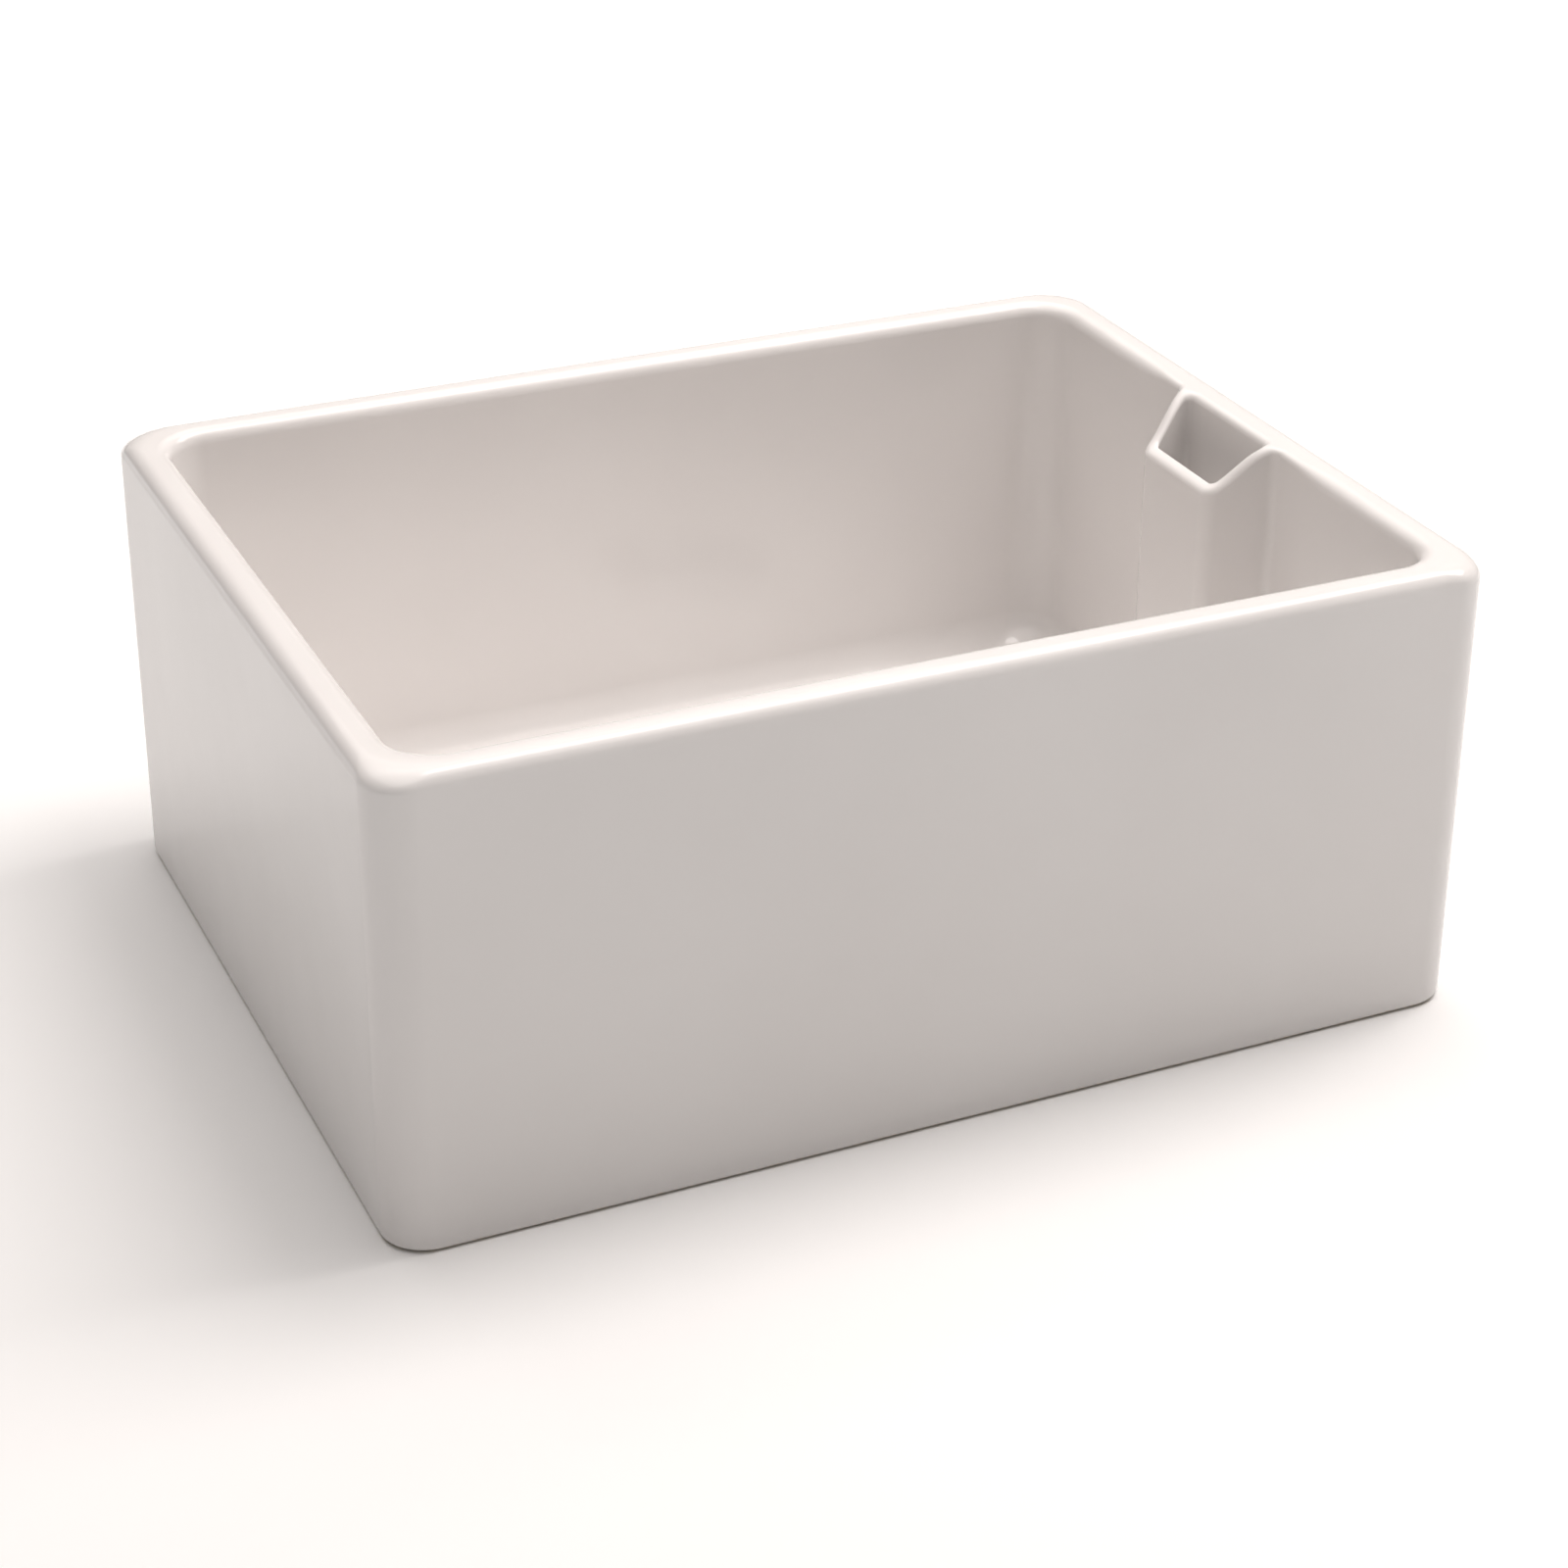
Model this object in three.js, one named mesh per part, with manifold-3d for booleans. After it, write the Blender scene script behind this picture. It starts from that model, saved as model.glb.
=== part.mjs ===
// Farmhouse apron front sink: a one-piece glazed fireclay bowl with a weir overflow box
// on its right-hand end wall, and the basket strainer waste clamped in its outlet.
// Millimetres. X runs along the apron, the apron faces -Y, Z is up, and the origin is
// the middle of the underside, on which the bowl stands. The waste hangs below it.
import * as THREE from 'three';
import { mergeVertices } from 'three/addons/utils/BufferGeometryUtils.js';
import Module from 'manifold-3d';

const wasm = await Module();
wasm.setup();

// ---------------------------------------------------------------- driving dimensions

// The fireclay bowl.
const sinkLength = 595;
const sinkDepth = 455;
const sinkHeight = 255;
const wallThickness = 22;
const floorThickness = 28;
const floorFall = 3;
const outerCornerRadius = 22;
const innerCornerRadius = 24;
const floorFilletRadius = 24;
const rimOuterRounding = 9;
const rimInnerRounding = 8;
const undersideRounding = 4;
const sharpestCorner = 0.25;

// The weir overflow box, in the middle of the +X end wall.
const weirReach = 34;
const weirHalfWidthAtWall = 51;
const weirHalfWidthAtLip = 35;
const weirWallThickness = 7.5;
const weirLipDrop = 26;
const weirCornerRadius = 11;
const weirRootRadius = 7;
const weirEdgeRounding = 3.5;
const weirEdgeEase = 45;
const pitDepth = 82;
const pitCornerRadius = 4.5;
const pitWallSideRounding = 4.5;
const pitFloorRounding = 6;

// The overflow's bore and its flat duct inside the floor.
const overflowBoreMargin = 1.5;
const overflowDuctWidth = 46;
const overflowDuctSkin = 5.75;
const overflowDuctCornerRadius = 11;

// The outlet in the bowl's floor, nearer to the weir box than to the far end.
const outletX = 120;
const outletEdgeRounding = 3;
const undersideRecessDepth = 1.2;
const floorDishMargin = 4;

// Clearances of the waste: between pieces that are clamped or rest, that slide, that water
// passes, and between a flange and the recess round it.
const seatGap = 0.3;
const slideGap = 0.4;
const overflowGap = 2.6;
const flangeMargin = 2;

// Strainer cup, pressed from stainless sheet.
const cupSheet = 1.2;
const flangeWidth = 14.3;
const flangeLip = 2.6;
const throatRadius = 42.2;
const throatDepth = 13.5;
const ledgeWidth = 4.2;
const cupFloorRadius = 31;
const drainHoleCount = 10;
const drainHoleRadius = 3;
const flangeRimBend = 1.5;
const throatBend = 4.5;
const ledgeBend = 1.2;
const cupFloorBend = 6;
const wellMouthBend = 1.2;
const wellFloorBend = 1.8;

// Seal rings above and below the fireclay floor.
const flangeSealThickness = 2.7;
const gasketThickness = 5;
const sealInset = 1.5;

// Moulded waste body.
const bodyWall = 2.6;
const bodyShoulder = 1.2;
const bodyFlangeThickness = 4;
const bodyFlangeWidth = 6.2;
const bodyFunnelDepth = 20;
const spigotRadius = 23.9;
const spigotWall = 4.4;
const spigotLength = 22;
const hubWall = 1.6;
const hubFloor = 1.4;
const ribCount = 4;
const ribThickness = 2.4;
const ribHeight = 11;

// Clamp screw, its washer and the brass insert that it draws up.
const screwRadius = 3;
const screwHeadRadius = 6;
const screwHeadHeight = 3.6;
const screwHeadChamfer = 0.9;
const screwSlotWidth = 1.6;
const screwSlotDepth = 1.8;
const screwTail = 0.8;
const screwWasherMargin = 2;
const screwWasherThickness = 1;
const wellMargin = 2.5;
const insertWall = 2.2;
const insertShoulderWidth = 1.2;
const insertShoulderHeight = 2;
const insertLength = 13;

// Lift-out basket.
const basketSheet = 0.8;
const basketSideGap = 0.6;
const basketBead = 1.7;
const basketMouthBend = 2;
const basketFloorBend = 4;
const basketFloorHoleRings = [
  { count: 8, shareOfFloor: 0.27 },
  { count: 12, shareOfFloor: 0.64 },
];
const basketSideHoleCount = 14;
const basketHoleRadius = 2.1;
const basketSideHoleHeight = 8.5;

// Nylon bush in the basket's floor, its snap ring and the O-ring that grips the post.
const bushWall = 1.9;
const bushHeadWidth = 3.2;
const bushHeadHeight = 4.2;
const bushHeadChamfer = 1;
const bushTail = 2.8;
const snapRingWidth = 3.1;
const snapRingThickness = 0.9;
const snapRingGrooveDepth = 0.8;
const oRingSection = 0.9;

// Push-pull plug on its post.
const postRadius = 3.5;
const postCollarWidth = 3.5;
const postCollarHeight = 1.6;
const postShoulder = 1;
const plugTravel = 9;
const plugSealMargin = 3.5;
const plugSealThickness = 4;
const plugSealEdge = 1.2;
const upperPlateInset = 5.5;
const lowerPlateGap = 1.7;
const plateThickness = 1.2;
const nutAcrossFlats = 8;
const nutHeight = 4;
const postTail = 1.2;
const postScrewGap = 1.5;
const knobRadius = 10.5;
const knobHeight = 12;
const knobCapHeight = 6;
const knobNeckRadius = 5;
const knobSocketDepth = 8;
const knobNeckBend = 0.8;
const knobUndersideBend = 1.5;
const knobCrownBend = 4;
const knobTopBelowFlange = 0.8;
const fingerRoom = 18.5;

// How finely curves are divided.
const cornerSteps = 8;
const weirCornerSteps = 6;
const pitCornerSteps = 5;
const edgeRoundingSteps = 5;
const slopeSteps = 7;
const easeSteps = 5;
const turnedSegments = 36;
const smallTurnedSegments = 20;
const holeSegments = 6;
const bendSteps = 2;
const roundSectionSteps = 8;

// ---------------------------------------------------------------- levels and places

const wallInnerX = sinkLength / 2 - wallThickness;
const wallInnerY = sinkDepth / 2 - wallThickness;
const weirLipX = wallInnerX - weirReach;
const pitLipX = weirLipX + weirWallThickness;
const pitFloorLevel = sinkHeight - pitDepth;

// From the fireclay floor to the cup's flange, which is flush with the floor.
const outletRecessDepth = 2 * seatGap + flangeSealThickness + cupSheet;
const outletLevel = floorThickness - floorFall;
const recessLevel = outletLevel - outletRecessDepth;
const flangeSealBottom = recessLevel + seatGap;
const flangeTop = outletLevel;
const flangeRadius = throatRadius + flangeWidth;
const outletRadius = throatRadius + cupSheet + overflowGap;
const outletRecessRadius = flangeRadius + flangeMargin;
const flangeSealInnerRadius = outletRadius + sealInset;
const flangeSealOuterRadius = flangeRadius - cupSheet - seatGap - sealInset;

// From the knob down to the plug's lower end, with the basket between them.
const knobTop = flangeTop - knobTopBelowFlange;
const knobBottom = knobTop - knobHeight;
const bushHeadTop = knobBottom - fingerRoom;
const bushHeadBottom = bushHeadTop - bushHeadHeight;
const basketFloorLevel = bushHeadBottom - seatGap;
const basketUnderside = basketFloorLevel - basketSheet;
const snapRingTop = basketUnderside - seatGap;
const snapRingBottom = snapRingTop - snapRingThickness;
const bushBottom = basketUnderside - bushTail;
const collarTop = bushBottom - seatGap - plugTravel;
const collarBottom = collarTop - postCollarHeight;
const upperPlateTop = collarBottom - seatGap;
const plugSealTop = upperPlateTop - plateThickness - seatGap;
const plugSealBottom = plugSealTop - plugSealThickness;
const lowerPlateTop = plugSealBottom - seatGap;
const nutTop = lowerPlateTop - plateThickness - seatGap;
const postBottom = nutTop - nutHeight - postTail;
const postSpigotRadius = postRadius - postShoulder;
const plugHoleRadius = postSpigotRadius + seatGap;

// The cup: its floor lies under the plug's rubber, its well holds the clamp screw.
const ledgeRadius = throatRadius - ledgeWidth;
const ledgeLevel = flangeTop - throatDepth;
const cupFloorLevel = plugSealBottom - seatGap;
const screwHeadTop = postBottom - postScrewGap;
const screwHeadBottom = screwHeadTop - screwHeadHeight;
const screwWasherTop = screwHeadBottom - seatGap;
const screwWasherBottom = screwWasherTop - screwWasherThickness;
const wellFloorLevel = screwWasherBottom - seatGap;
const screwWasherRadius = screwHeadRadius + screwWasherMargin;
const wellRadius = screwWasherRadius + wellMargin;
const screwHoleRadius = screwRadius + slideGap;
const plugSealRadius = cupFloorRadius - plugSealMargin;
const upperPlateRadius = plugSealRadius - upperPlateInset;
const lowerPlateRadius = wellRadius - lowerPlateGap;
const drainHolePitchRadius = (wellRadius + plugSealRadius) / 2;

// The housing below the floor: its hub meets the cup's well.
const hubTop = wellFloorLevel - cupSheet - seatGap;
const insertTop = hubTop - seatGap;
const insertBottom = insertTop - insertLength;
const hubBottom = insertBottom - seatGap - hubFloor;
const screwEnd = insertBottom - screwTail;
const insertBoreRadius = screwRadius + seatGap;
const insertRadius = insertBoreRadius + insertWall;
const insertShoulderRadius = insertRadius + insertShoulderWidth;
const hubRadius = insertShoulderRadius + seatGap + hubWall;
const gasketTop = undersideRecessDepth - seatGap;
const gasketBottom = gasketTop - gasketThickness;
const bodyTop = gasketBottom - seatGap;
const spigotTop = hubBottom;
const bodyStraightEnd = spigotTop + bodyFunnelDepth;
const spigotEnd = spigotTop - spigotLength;
const spigotBoreRadius = spigotRadius - spigotWall;
const bodyInnerRadius = outletRadius + bodyShoulder;
const bodyOuterRadius = bodyInnerRadius + bodyWall;
const bodyFlangeRadius = bodyOuterRadius + bodyFlangeWidth;
const undersideRecessRadius = bodyFlangeRadius + flangeMargin;
const gasketInnerRadius = outletRadius + sealInset;
const gasketOuterRadius = undersideRecessRadius - sealInset;

// The basket hangs by its bead on the cup's ledge and narrows with the cup.
const basketTop = ledgeLevel + seatGap + 2 * basketBead;
const basketBeadRadius = throatRadius - slideGap - seatGap;
const basketMouthRadius = ledgeRadius - basketSheet - basketSideGap;
const cupTaper = (ledgeRadius - cupFloorRadius) / (ledgeLevel - cupFloorLevel);
const cupRadiusAtBasketFloor = cupFloorRadius + cupTaper * (basketFloorLevel - cupFloorLevel);
const basketFloorRadius = cupRadiusAtBasketFloor - basketSheet - basketSideGap - basketBead;
const bushBoreRadius = postRadius + slideGap;
const bushBarrelRadius = bushBoreRadius + bushWall;
const bushHeadRadius = bushBarrelRadius + bushHeadWidth;
const snapRingInnerRadius = bushBarrelRadius - snapRingGrooveDepth + seatGap;
const snapRingOuterRadius = snapRingInnerRadius + snapRingWidth;
const oRingRadius = bushBoreRadius + oRingSection;
const oRingLevel = (bushHeadBottom + bushHeadTop) / 2;

// ---------------------------------------------------------------- shape helpers

// The geometry with its positions alone, shared vertices merged and flat triangles dropped.
function welded(geometry) {
  const bare = new THREE.BufferGeometry();
  bare.setAttribute('position', geometry.getAttribute('position').clone());
  if (geometry.index) bare.setIndex(geometry.index.clone());
  const merged = mergeVertices(bare, 1e-4);
  const corners = merged.index.array;
  const kept = [];
  for (let i = 0; i < corners.length; i += 3) {
    const [a, b, c] = corners.slice(i, i + 3);
    if (a !== b && b !== c && c !== a) kept.push(a, b, c);
  }
  merged.setIndex(kept);
  return merged;
}

function solidOf(geometry) {
  const merged = welded(geometry);
  return new wasm.Manifold(new wasm.Mesh({
    numProp: 3,
    vertProperties: merged.getAttribute('position').array,
    triVerts: new Uint32Array(merged.index.array),
  }));
}

function geometryOf(solid) {
  const mesh = solid.getMesh();
  const geometry = new THREE.BufferGeometry();
  const positions = new THREE.BufferAttribute(mesh.vertProperties, mesh.numProp);
  geometry.setAttribute('position', positions);
  geometry.setIndex(new THREE.BufferAttribute(mesh.triVerts, 1));
  geometry.computeVertexNormals();
  return geometry;
}

// Points along a path of straight runs with rounded corners, moved to its left by `shift`.
// Each point also carries the direction that lies to the path's right there.
// A corner is { x, y, radius, steps, runSteps }, where runSteps divides the run after it.
function roundedPath(corners, { shift = 0, closed = false } = {}) {
  const count = corners.length;
  const runs = corners.map((corner, i) => {
    const next = corners[(i + 1) % count];
    return new THREE.Vector2(next.x - corner.x, next.y - corner.y).normalize();
  });
  const arcs = corners.map((corner, i) => {
    const first = !closed && i === 0;
    const last = !closed && i === count - 1;
    const before = first ? runs[0] : runs[(i + count - 1) % count];
    const after = last ? before : runs[i];
    const turn = Math.atan2(before.cross(after), before.dot(after));
    const leftBefore = new THREE.Vector2(-before.y, before.x);
    const leftAfter = new THREE.Vector2(-after.y, after.x);
    const mitre = leftBefore.clone().add(leftAfter);
    mitre.multiplyScalar(shift / (1 + leftBefore.dot(leftAfter)));
    const corner2 = new THREE.Vector2(corner.x, corner.y).add(mitre);
    const right = leftBefore.clone().negate();
    if (!corner.radius || Math.abs(turn) < 1e-6) return [{ at: corner2, right }];
    const side = Math.sign(turn);
    const radius = Math.max(corner.radius - side * shift, sharpestCorner);
    const start = corner2.clone().addScaledVector(before, -radius * Math.tan(Math.abs(turn) / 2));
    const centre = start.clone().addScaledVector(leftBefore, side * radius);
    const steps = corner.steps ?? bendSteps;
    return Array.from({ length: steps + 1 }, (_, k) => {
      const angle = (turn * k) / steps;
      return {
        at: start.clone().rotateAround(centre, angle),
        right: right.clone().rotateAround(new THREE.Vector2(), angle),
      };
    });
  });
  const points = [];
  arcs.forEach((arc, i) => {
    points.push(...arc);
    const runSteps = corners[i].runSteps ?? 1;
    const from = arc[arc.length - 1];
    const to = arcs[(i + 1) % count][0];
    for (let k = 1; k < runSteps; k += 1) {
      points.push({ at: from.at.clone().lerp(to.at, k / runSteps), right: from.right });
    }
  });
  return points;
}

// A solid skinned over level rings of equally many points, from the lowest to the highest,
// each running anticlockwise seen from above.
function loft(rings) {
  const count = rings[0].length;
  const index = [];
  for (let level = 0; level + 1 < rings.length; level += 1) {
    const low = level * count;
    const high = low + count;
    for (let j = 0; j < count; j += 1) {
      const k = (j + 1) % count;
      index.push(low + j, low + k, high + k, low + j, high + k, high + j);
    }
  }
  const flat = (ring) => ring.map((p) => new THREE.Vector2(p.x, p.y));
  const lastLevel = (rings.length - 1) * count;
  const bottom = THREE.ShapeUtils.triangulateShape(flat(rings[0]), []);
  const top = THREE.ShapeUtils.triangulateShape(flat(rings[rings.length - 1]), []);
  bottom.forEach(([a, b, c]) => index.push(a, c, b));
  top.forEach(([a, b, c]) => index.push(lastLevel + a, lastLevel + b, lastLevel + c));
  const geometry = new THREE.BufferGeometry();
  const positions = rings.flat().flatMap((p) => [p.x, p.y, p.z]);
  geometry.setAttribute('position', new THREE.Float32BufferAttribute(positions, 3));
  geometry.setIndex(index);
  return geometry;
}

// One ring of a loft: the outline's points pushed outwards by `swell` at height `z`.
// Both may be a number or a function of the point.
function ring(outline, z, swell = 0) {
  return outline.map((point) => {
    const out = typeof swell === 'function' ? swell(point) : swell;
    const level = typeof z === 'function' ? z(point) : z;
    return new THREE.Vector3(
      point.at.x + point.right.x * out,
      point.at.y + point.right.y * out,
      level,
    );
  });
}

// Angles that divide a quarter turn, from just after its start to its end.
function quarterAngles(steps) {
  return Array.from({ length: steps }, (_, k) => ((k + 1) / steps) * (Math.PI / 2));
}

// A body of revolution about Z. The profile is a list of [radius, z] that closes on itself,
// anticlockwise with the radius to the right and Z up.
function turned(profile, segments = smallTurnedSegments) {
  const points = [...profile, profile[0]].map(([r, z]) => new THREE.Vector2(r, z));
  const geometry = new THREE.LatheGeometry(points, segments);
  geometry.rotateX(Math.PI / 2);
  return welded(geometry);
}

function turnedRing(innerRadius, outerRadius, bottom, top, segments) {
  return turned([
    [innerRadius, bottom],
    [outerRadius, bottom],
    [outerRadius, top],
    [innerRadius, top],
  ], segments);
}

// The profile of a pressed sheet: its visible face follows the path, its thickness lies
// on the path's left.
function sheetProfile(path, thickness) {
  const corners = path.map(([x, y, radius]) => ({ x, y, radius }));
  const face = roundedPath(corners);
  const back = roundedPath(corners, { shift: thickness }).reverse();
  return [...face, ...back].map(({ at }) => [at.x, at.y]);
}

function upright(radius, bottom, top, segments = holeSegments) {
  const geometry = new THREE.CylinderGeometry(radius, radius, top - bottom, segments);
  geometry.rotateX(Math.PI / 2);
  geometry.translate(0, 0, (top + bottom) / 2);
  return geometry;
}

function block(lengthX, lengthY, bottom, top) {
  const geometry = new THREE.BoxGeometry(lengthX, lengthY, top - bottom);
  geometry.translate(0, 0, (top + bottom) / 2);
  return geometry;
}

// Copies of a geometry set round the Z axis at equal angles.
function aroundAxis(count, make) {
  return Array.from({ length: count }, (_, i) => {
    const geometry = make();
    geometry.rotateZ((i / count) * 2 * Math.PI);
    return geometry;
  });
}

function cut(solid, geometries) {
  return geometries.reduce((left, geometry) => left.subtract(solidOf(geometry)), solid);
}

function joined(solid, geometries) {
  return geometries.reduce((whole, geometry) => whole.add(solidOf(geometry)), solid);
}

// ---------------------------------------------------------------- the fireclay bowl

function rectangleCorners(halfX, halfY, radius) {
  return [[-1, -1], [1, -1], [1, 1], [-1, 1]].map(([x, y]) => ({
    x: x * halfX,
    y: y * halfY,
    radius,
    steps: cornerSteps,
  }));
}

// The outside of the bowl: upright walls, rounded at the foot and round the rim.
function outerBlock() {
  const corners = rectangleCorners(sinkLength / 2, sinkDepth / 2, outerCornerRadius);
  const outline = roundedPath(corners, { closed: true });
  const foot = quarterAngles(edgeRoundingSteps).reverse().map((angle) => ring(
    outline,
    undersideRounding * (1 - Math.sin(angle)),
    -undersideRounding * (1 - Math.cos(angle)),
  ));
  const rim = quarterAngles(edgeRoundingSteps).map((angle) => ring(
    outline,
    sinkHeight - rimOuterRounding * (1 - Math.sin(angle)),
    -rimOuterRounding * (1 - Math.cos(angle)),
  ));
  return loft([
    ...foot,
    ring(outline, undersideRounding),
    ring(outline, sinkHeight - rimOuterRounding),
    ...rim,
  ]);
}

// Height of the weir box's top edge: level with the rim at the wall, then down in an
// S-shaped slope to the lip.
function weirTop(x) {
  return sinkHeight - weirLipDrop * THREE.MathUtils.smoothstep(wallInnerX - x, 0, weirReach);
}

// How far a point of the bowl's inner edge is from the weir box, along the end wall.
function clearOfWeir({ at }) {
  if (at.x < 0) return sinkDepth;
  return Math.max(Math.abs(at.y) - weirHalfWidthAtWall - weirRootRadius, 0);
}

function innerEdgeTop(point) {
  return clearOfWeir(point) > 0 ? sinkHeight : weirTop(point.at.x);
}

// Rounding of the bowl's inner top edge: fine on the weir box, easing to the rim's own.
function innerEdgeRounding(point) {
  const share = THREE.MathUtils.smoothstep(clearOfWeir(point), 0, weirEdgeEase);
  return THREE.MathUtils.lerp(weirEdgeRounding, rimInnerRounding, share);
}

// Rounding of the pit's top edge: fine on the lip, easing to the end wall's.
function pitEdgeRounding({ at }) {
  const share = THREE.MathUtils.smoothstep(at.x, pitLipX, wallInnerX);
  return THREE.MathUtils.lerp(weirEdgeRounding, pitWallSideRounding, share);
}

// The bowl's inner wall in plan, with the weir box standing into it.
function bowlOutline(shift) {
  const [frontLeft, frontRight, backRight, backLeft] = rectangleCorners(
    wallInnerX,
    wallInnerY,
    innerCornerRadius,
  );
  const root = { radius: weirRootRadius, steps: weirCornerSteps };
  const lip = { radius: weirCornerRadius, steps: weirCornerSteps };
  const corners = [
    frontLeft,
    { ...frontRight, runSteps: easeSteps },
    { x: wallInnerX, y: -weirHalfWidthAtWall, ...root, runSteps: slopeSteps },
    { x: weirLipX, y: -weirHalfWidthAtLip, ...lip },
    { x: weirLipX, y: weirHalfWidthAtLip, ...lip, runSteps: slopeSteps },
    { x: wallInnerX, y: weirHalfWidthAtWall, ...root, runSteps: easeSteps },
    backRight,
    backLeft,
  ];
  return roundedPath(corners, { shift, closed: true });
}

// Everything that is cut away to make the bowl, from the foot's fillet to above the rim.
function bowlHollow() {
  const foot = quarterAngles(edgeRoundingSteps).reverse().map((angle) => ring(
    bowlOutline(floorFilletRadius * (1 - Math.cos(angle))),
    floorThickness + floorFilletRadius * (1 - Math.sin(angle)),
  ));
  const outline = bowlOutline(0);
  const rim = quarterAngles(edgeRoundingSteps).map((angle) => ring(
    outline,
    (p) => innerEdgeTop(p) - innerEdgeRounding(p) * (1 - Math.sin(angle)),
    (p) => innerEdgeRounding(p) * (1 - Math.cos(angle)),
  ));
  return loft([
    ...foot,
    ring(outline, floorThickness + floorFilletRadius),
    ring(outline, (p) => innerEdgeTop(p) - innerEdgeRounding(p)),
    ...rim,
    ring(outline, sinkHeight + rimInnerRounding, innerEdgeRounding),
  ]);
}

// The shallow fall of the floor towards the outlet's edge.
function floorDish() {
  const margin = floorFilletRadius + floorDishMargin;
  const right = weirLipX - margin;
  const left = -wallInnerX + margin;
  const halfY = wallInnerY - margin;
  const corners = rectangleCorners((right - left) / 2, halfY, innerCornerRadius);
  corners.forEach((corner) => {
    corner.x += (right + left) / 2;
  });
  const edge = roundedPath(corners, { closed: true });
  const dishBottomRadius = outletRecessRadius + outletEdgeRounding;
  const around = edge.map(({ at }) => {
    const out = new THREE.Vector2(at.x - outletX, at.y).setLength(dishBottomRadius);
    return new THREE.Vector3(outletX + out.x, out.y, outletLevel);
  });
  return loft([around, ring(edge, floorThickness), ring(edge, floorThickness + floorFall)]);
}

// Half the pit's width in plan at a given X: the weir box's own less its side wall.
function pitHalfWidth(x) {
  const spread = weirHalfWidthAtWall - weirHalfWidthAtLip;
  const outside = weirHalfWidthAtLip + (spread * (x - weirLipX)) / weirReach;
  return outside - (weirWallThickness * Math.hypot(weirReach, spread)) / weirReach;
}

// The open pit inside the weir box.
function weirPit() {
  const pitCorner = (x, side) => ({
    x,
    y: side * pitHalfWidth(x),
    radius: pitCornerRadius,
    steps: pitCornerSteps,
  });
  const corners = [
    { ...pitCorner(pitLipX, -1), runSteps: slopeSteps },
    pitCorner(wallInnerX, -1),
    { ...pitCorner(wallInnerX, 1), runSteps: slopeSteps },
    pitCorner(pitLipX, 1),
  ];
  const outline = roundedPath(corners, { closed: true });
  const foot = quarterAngles(bendSteps).reverse().map((angle) => ring(
    roundedPath(corners, {
      shift: pitFloorRounding * (1 - Math.cos(angle)),
      closed: true,
    }),
    pitFloorLevel + pitFloorRounding * (1 - Math.sin(angle)),
  ));
  const rim = quarterAngles(edgeRoundingSteps).map((angle) => ring(
    outline,
    (p) => weirTop(p.at.x) - pitEdgeRounding(p) * (1 - Math.sin(angle)),
    (p) => pitEdgeRounding(p) * (1 - Math.cos(angle)),
  ));
  return loft([
    ...foot,
    ring(outline, pitFloorLevel + pitFloorRounding),
    ring(outline, (p) => weirTop(p.at.x) - pitEdgeRounding(p)),
    ...rim,
    ring(outline, sinkHeight + rimInnerRounding, pitEdgeRounding),
  ]);
}

// What stands above the sloping top edge of the weir box, cut away in one sweep.
function aboveWeir() {
  const ceiling = sinkHeight + rimInnerRounding;
  const clear = weirLipX - weirWallThickness;
  const shape = new THREE.Shape();
  shape.moveTo(wallInnerX, ceiling);
  shape.lineTo(clear, ceiling);
  shape.lineTo(clear, weirTop(weirLipX));
  const steps = 2 * slopeSteps;
  for (let k = 0; k <= steps; k += 1) {
    const x = weirLipX + (weirReach * k) / steps;
    shape.lineTo(x, weirTop(x));
  }
  const halfWidth = weirHalfWidthAtWall + weirRootRadius;
  const geometry = new THREE.ExtrudeGeometry(shape, {
    depth: 2 * halfWidth,
    bevelEnabled: false,
  });
  geometry.rotateX(Math.PI / 2);
  geometry.translate(0, halfWidth, 0);
  return geometry;
}

// The overflow's way from the pit down the weir box and under the floor to the outlet.
function overflowPassage() {
  const ductFloor = overflowDuctSkin;
  const ductTop = recessLevel - overflowDuctSkin;
  const boreX = (pitLipX + wallInnerX) / 2;
  const boreRadius = (wallInnerX - pitLipX) / 2 - overflowBoreMargin;
  const ductEnd = boreX + boreRadius;
  const bore = upright(
    boreRadius,
    (ductFloor + ductTop) / 2,
    pitFloorLevel + pitFloorRounding,
    2 * holeSegments,
  ).translate(boreX, 0, 0);
  const corners = rectangleCorners(
    (ductEnd - outletX) / 2,
    overflowDuctWidth / 2,
    overflowDuctCornerRadius,
  );
  corners.forEach((corner) => {
    corner.x += (ductEnd + outletX) / 2;
  });
  const outline = roundedPath(corners, { closed: true });
  return [bore, loft([ring(outline, ductFloor), ring(outline, ductTop)])];
}

// The stepped outlet through the floor, with a shallow seat ground round it underneath.
function outletHole() {
  const steps = quarterAngles(edgeRoundingSteps).reverse();
  const edge = steps.map((angle) => [
    outletRecessRadius + outletEdgeRounding * Math.sin(angle) ** 2,
    outletLevel - outletEdgeRounding * Math.cos(angle) ** 2,
  ]).reverse();
  const clear = outletLevel + floorFilletRadius;
  return turned([
    [0, -undersideRecessDepth],
    [undersideRecessRadius, -undersideRecessDepth],
    [undersideRecessRadius, undersideRecessDepth],
    [outletRadius, undersideRecessDepth],
    [outletRadius, recessLevel],
    [outletRecessRadius, recessLevel],
    [outletRecessRadius, outletLevel - outletEdgeRounding],
    ...edge,
    [outletRecessRadius + outletEdgeRounding, clear],
    [0, clear],
  ], turnedSegments).translate(outletX, 0, 0);
}

function sinkBody() {
  return cut(solidOf(outerBlock()), [
    bowlHollow(),
    floorDish(),
    aboveWeir(),
    weirPit(),
    ...overflowPassage(),
    outletHole(),
  ]);
}

// ---------------------------------------------------------------- the fixed waste

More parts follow.
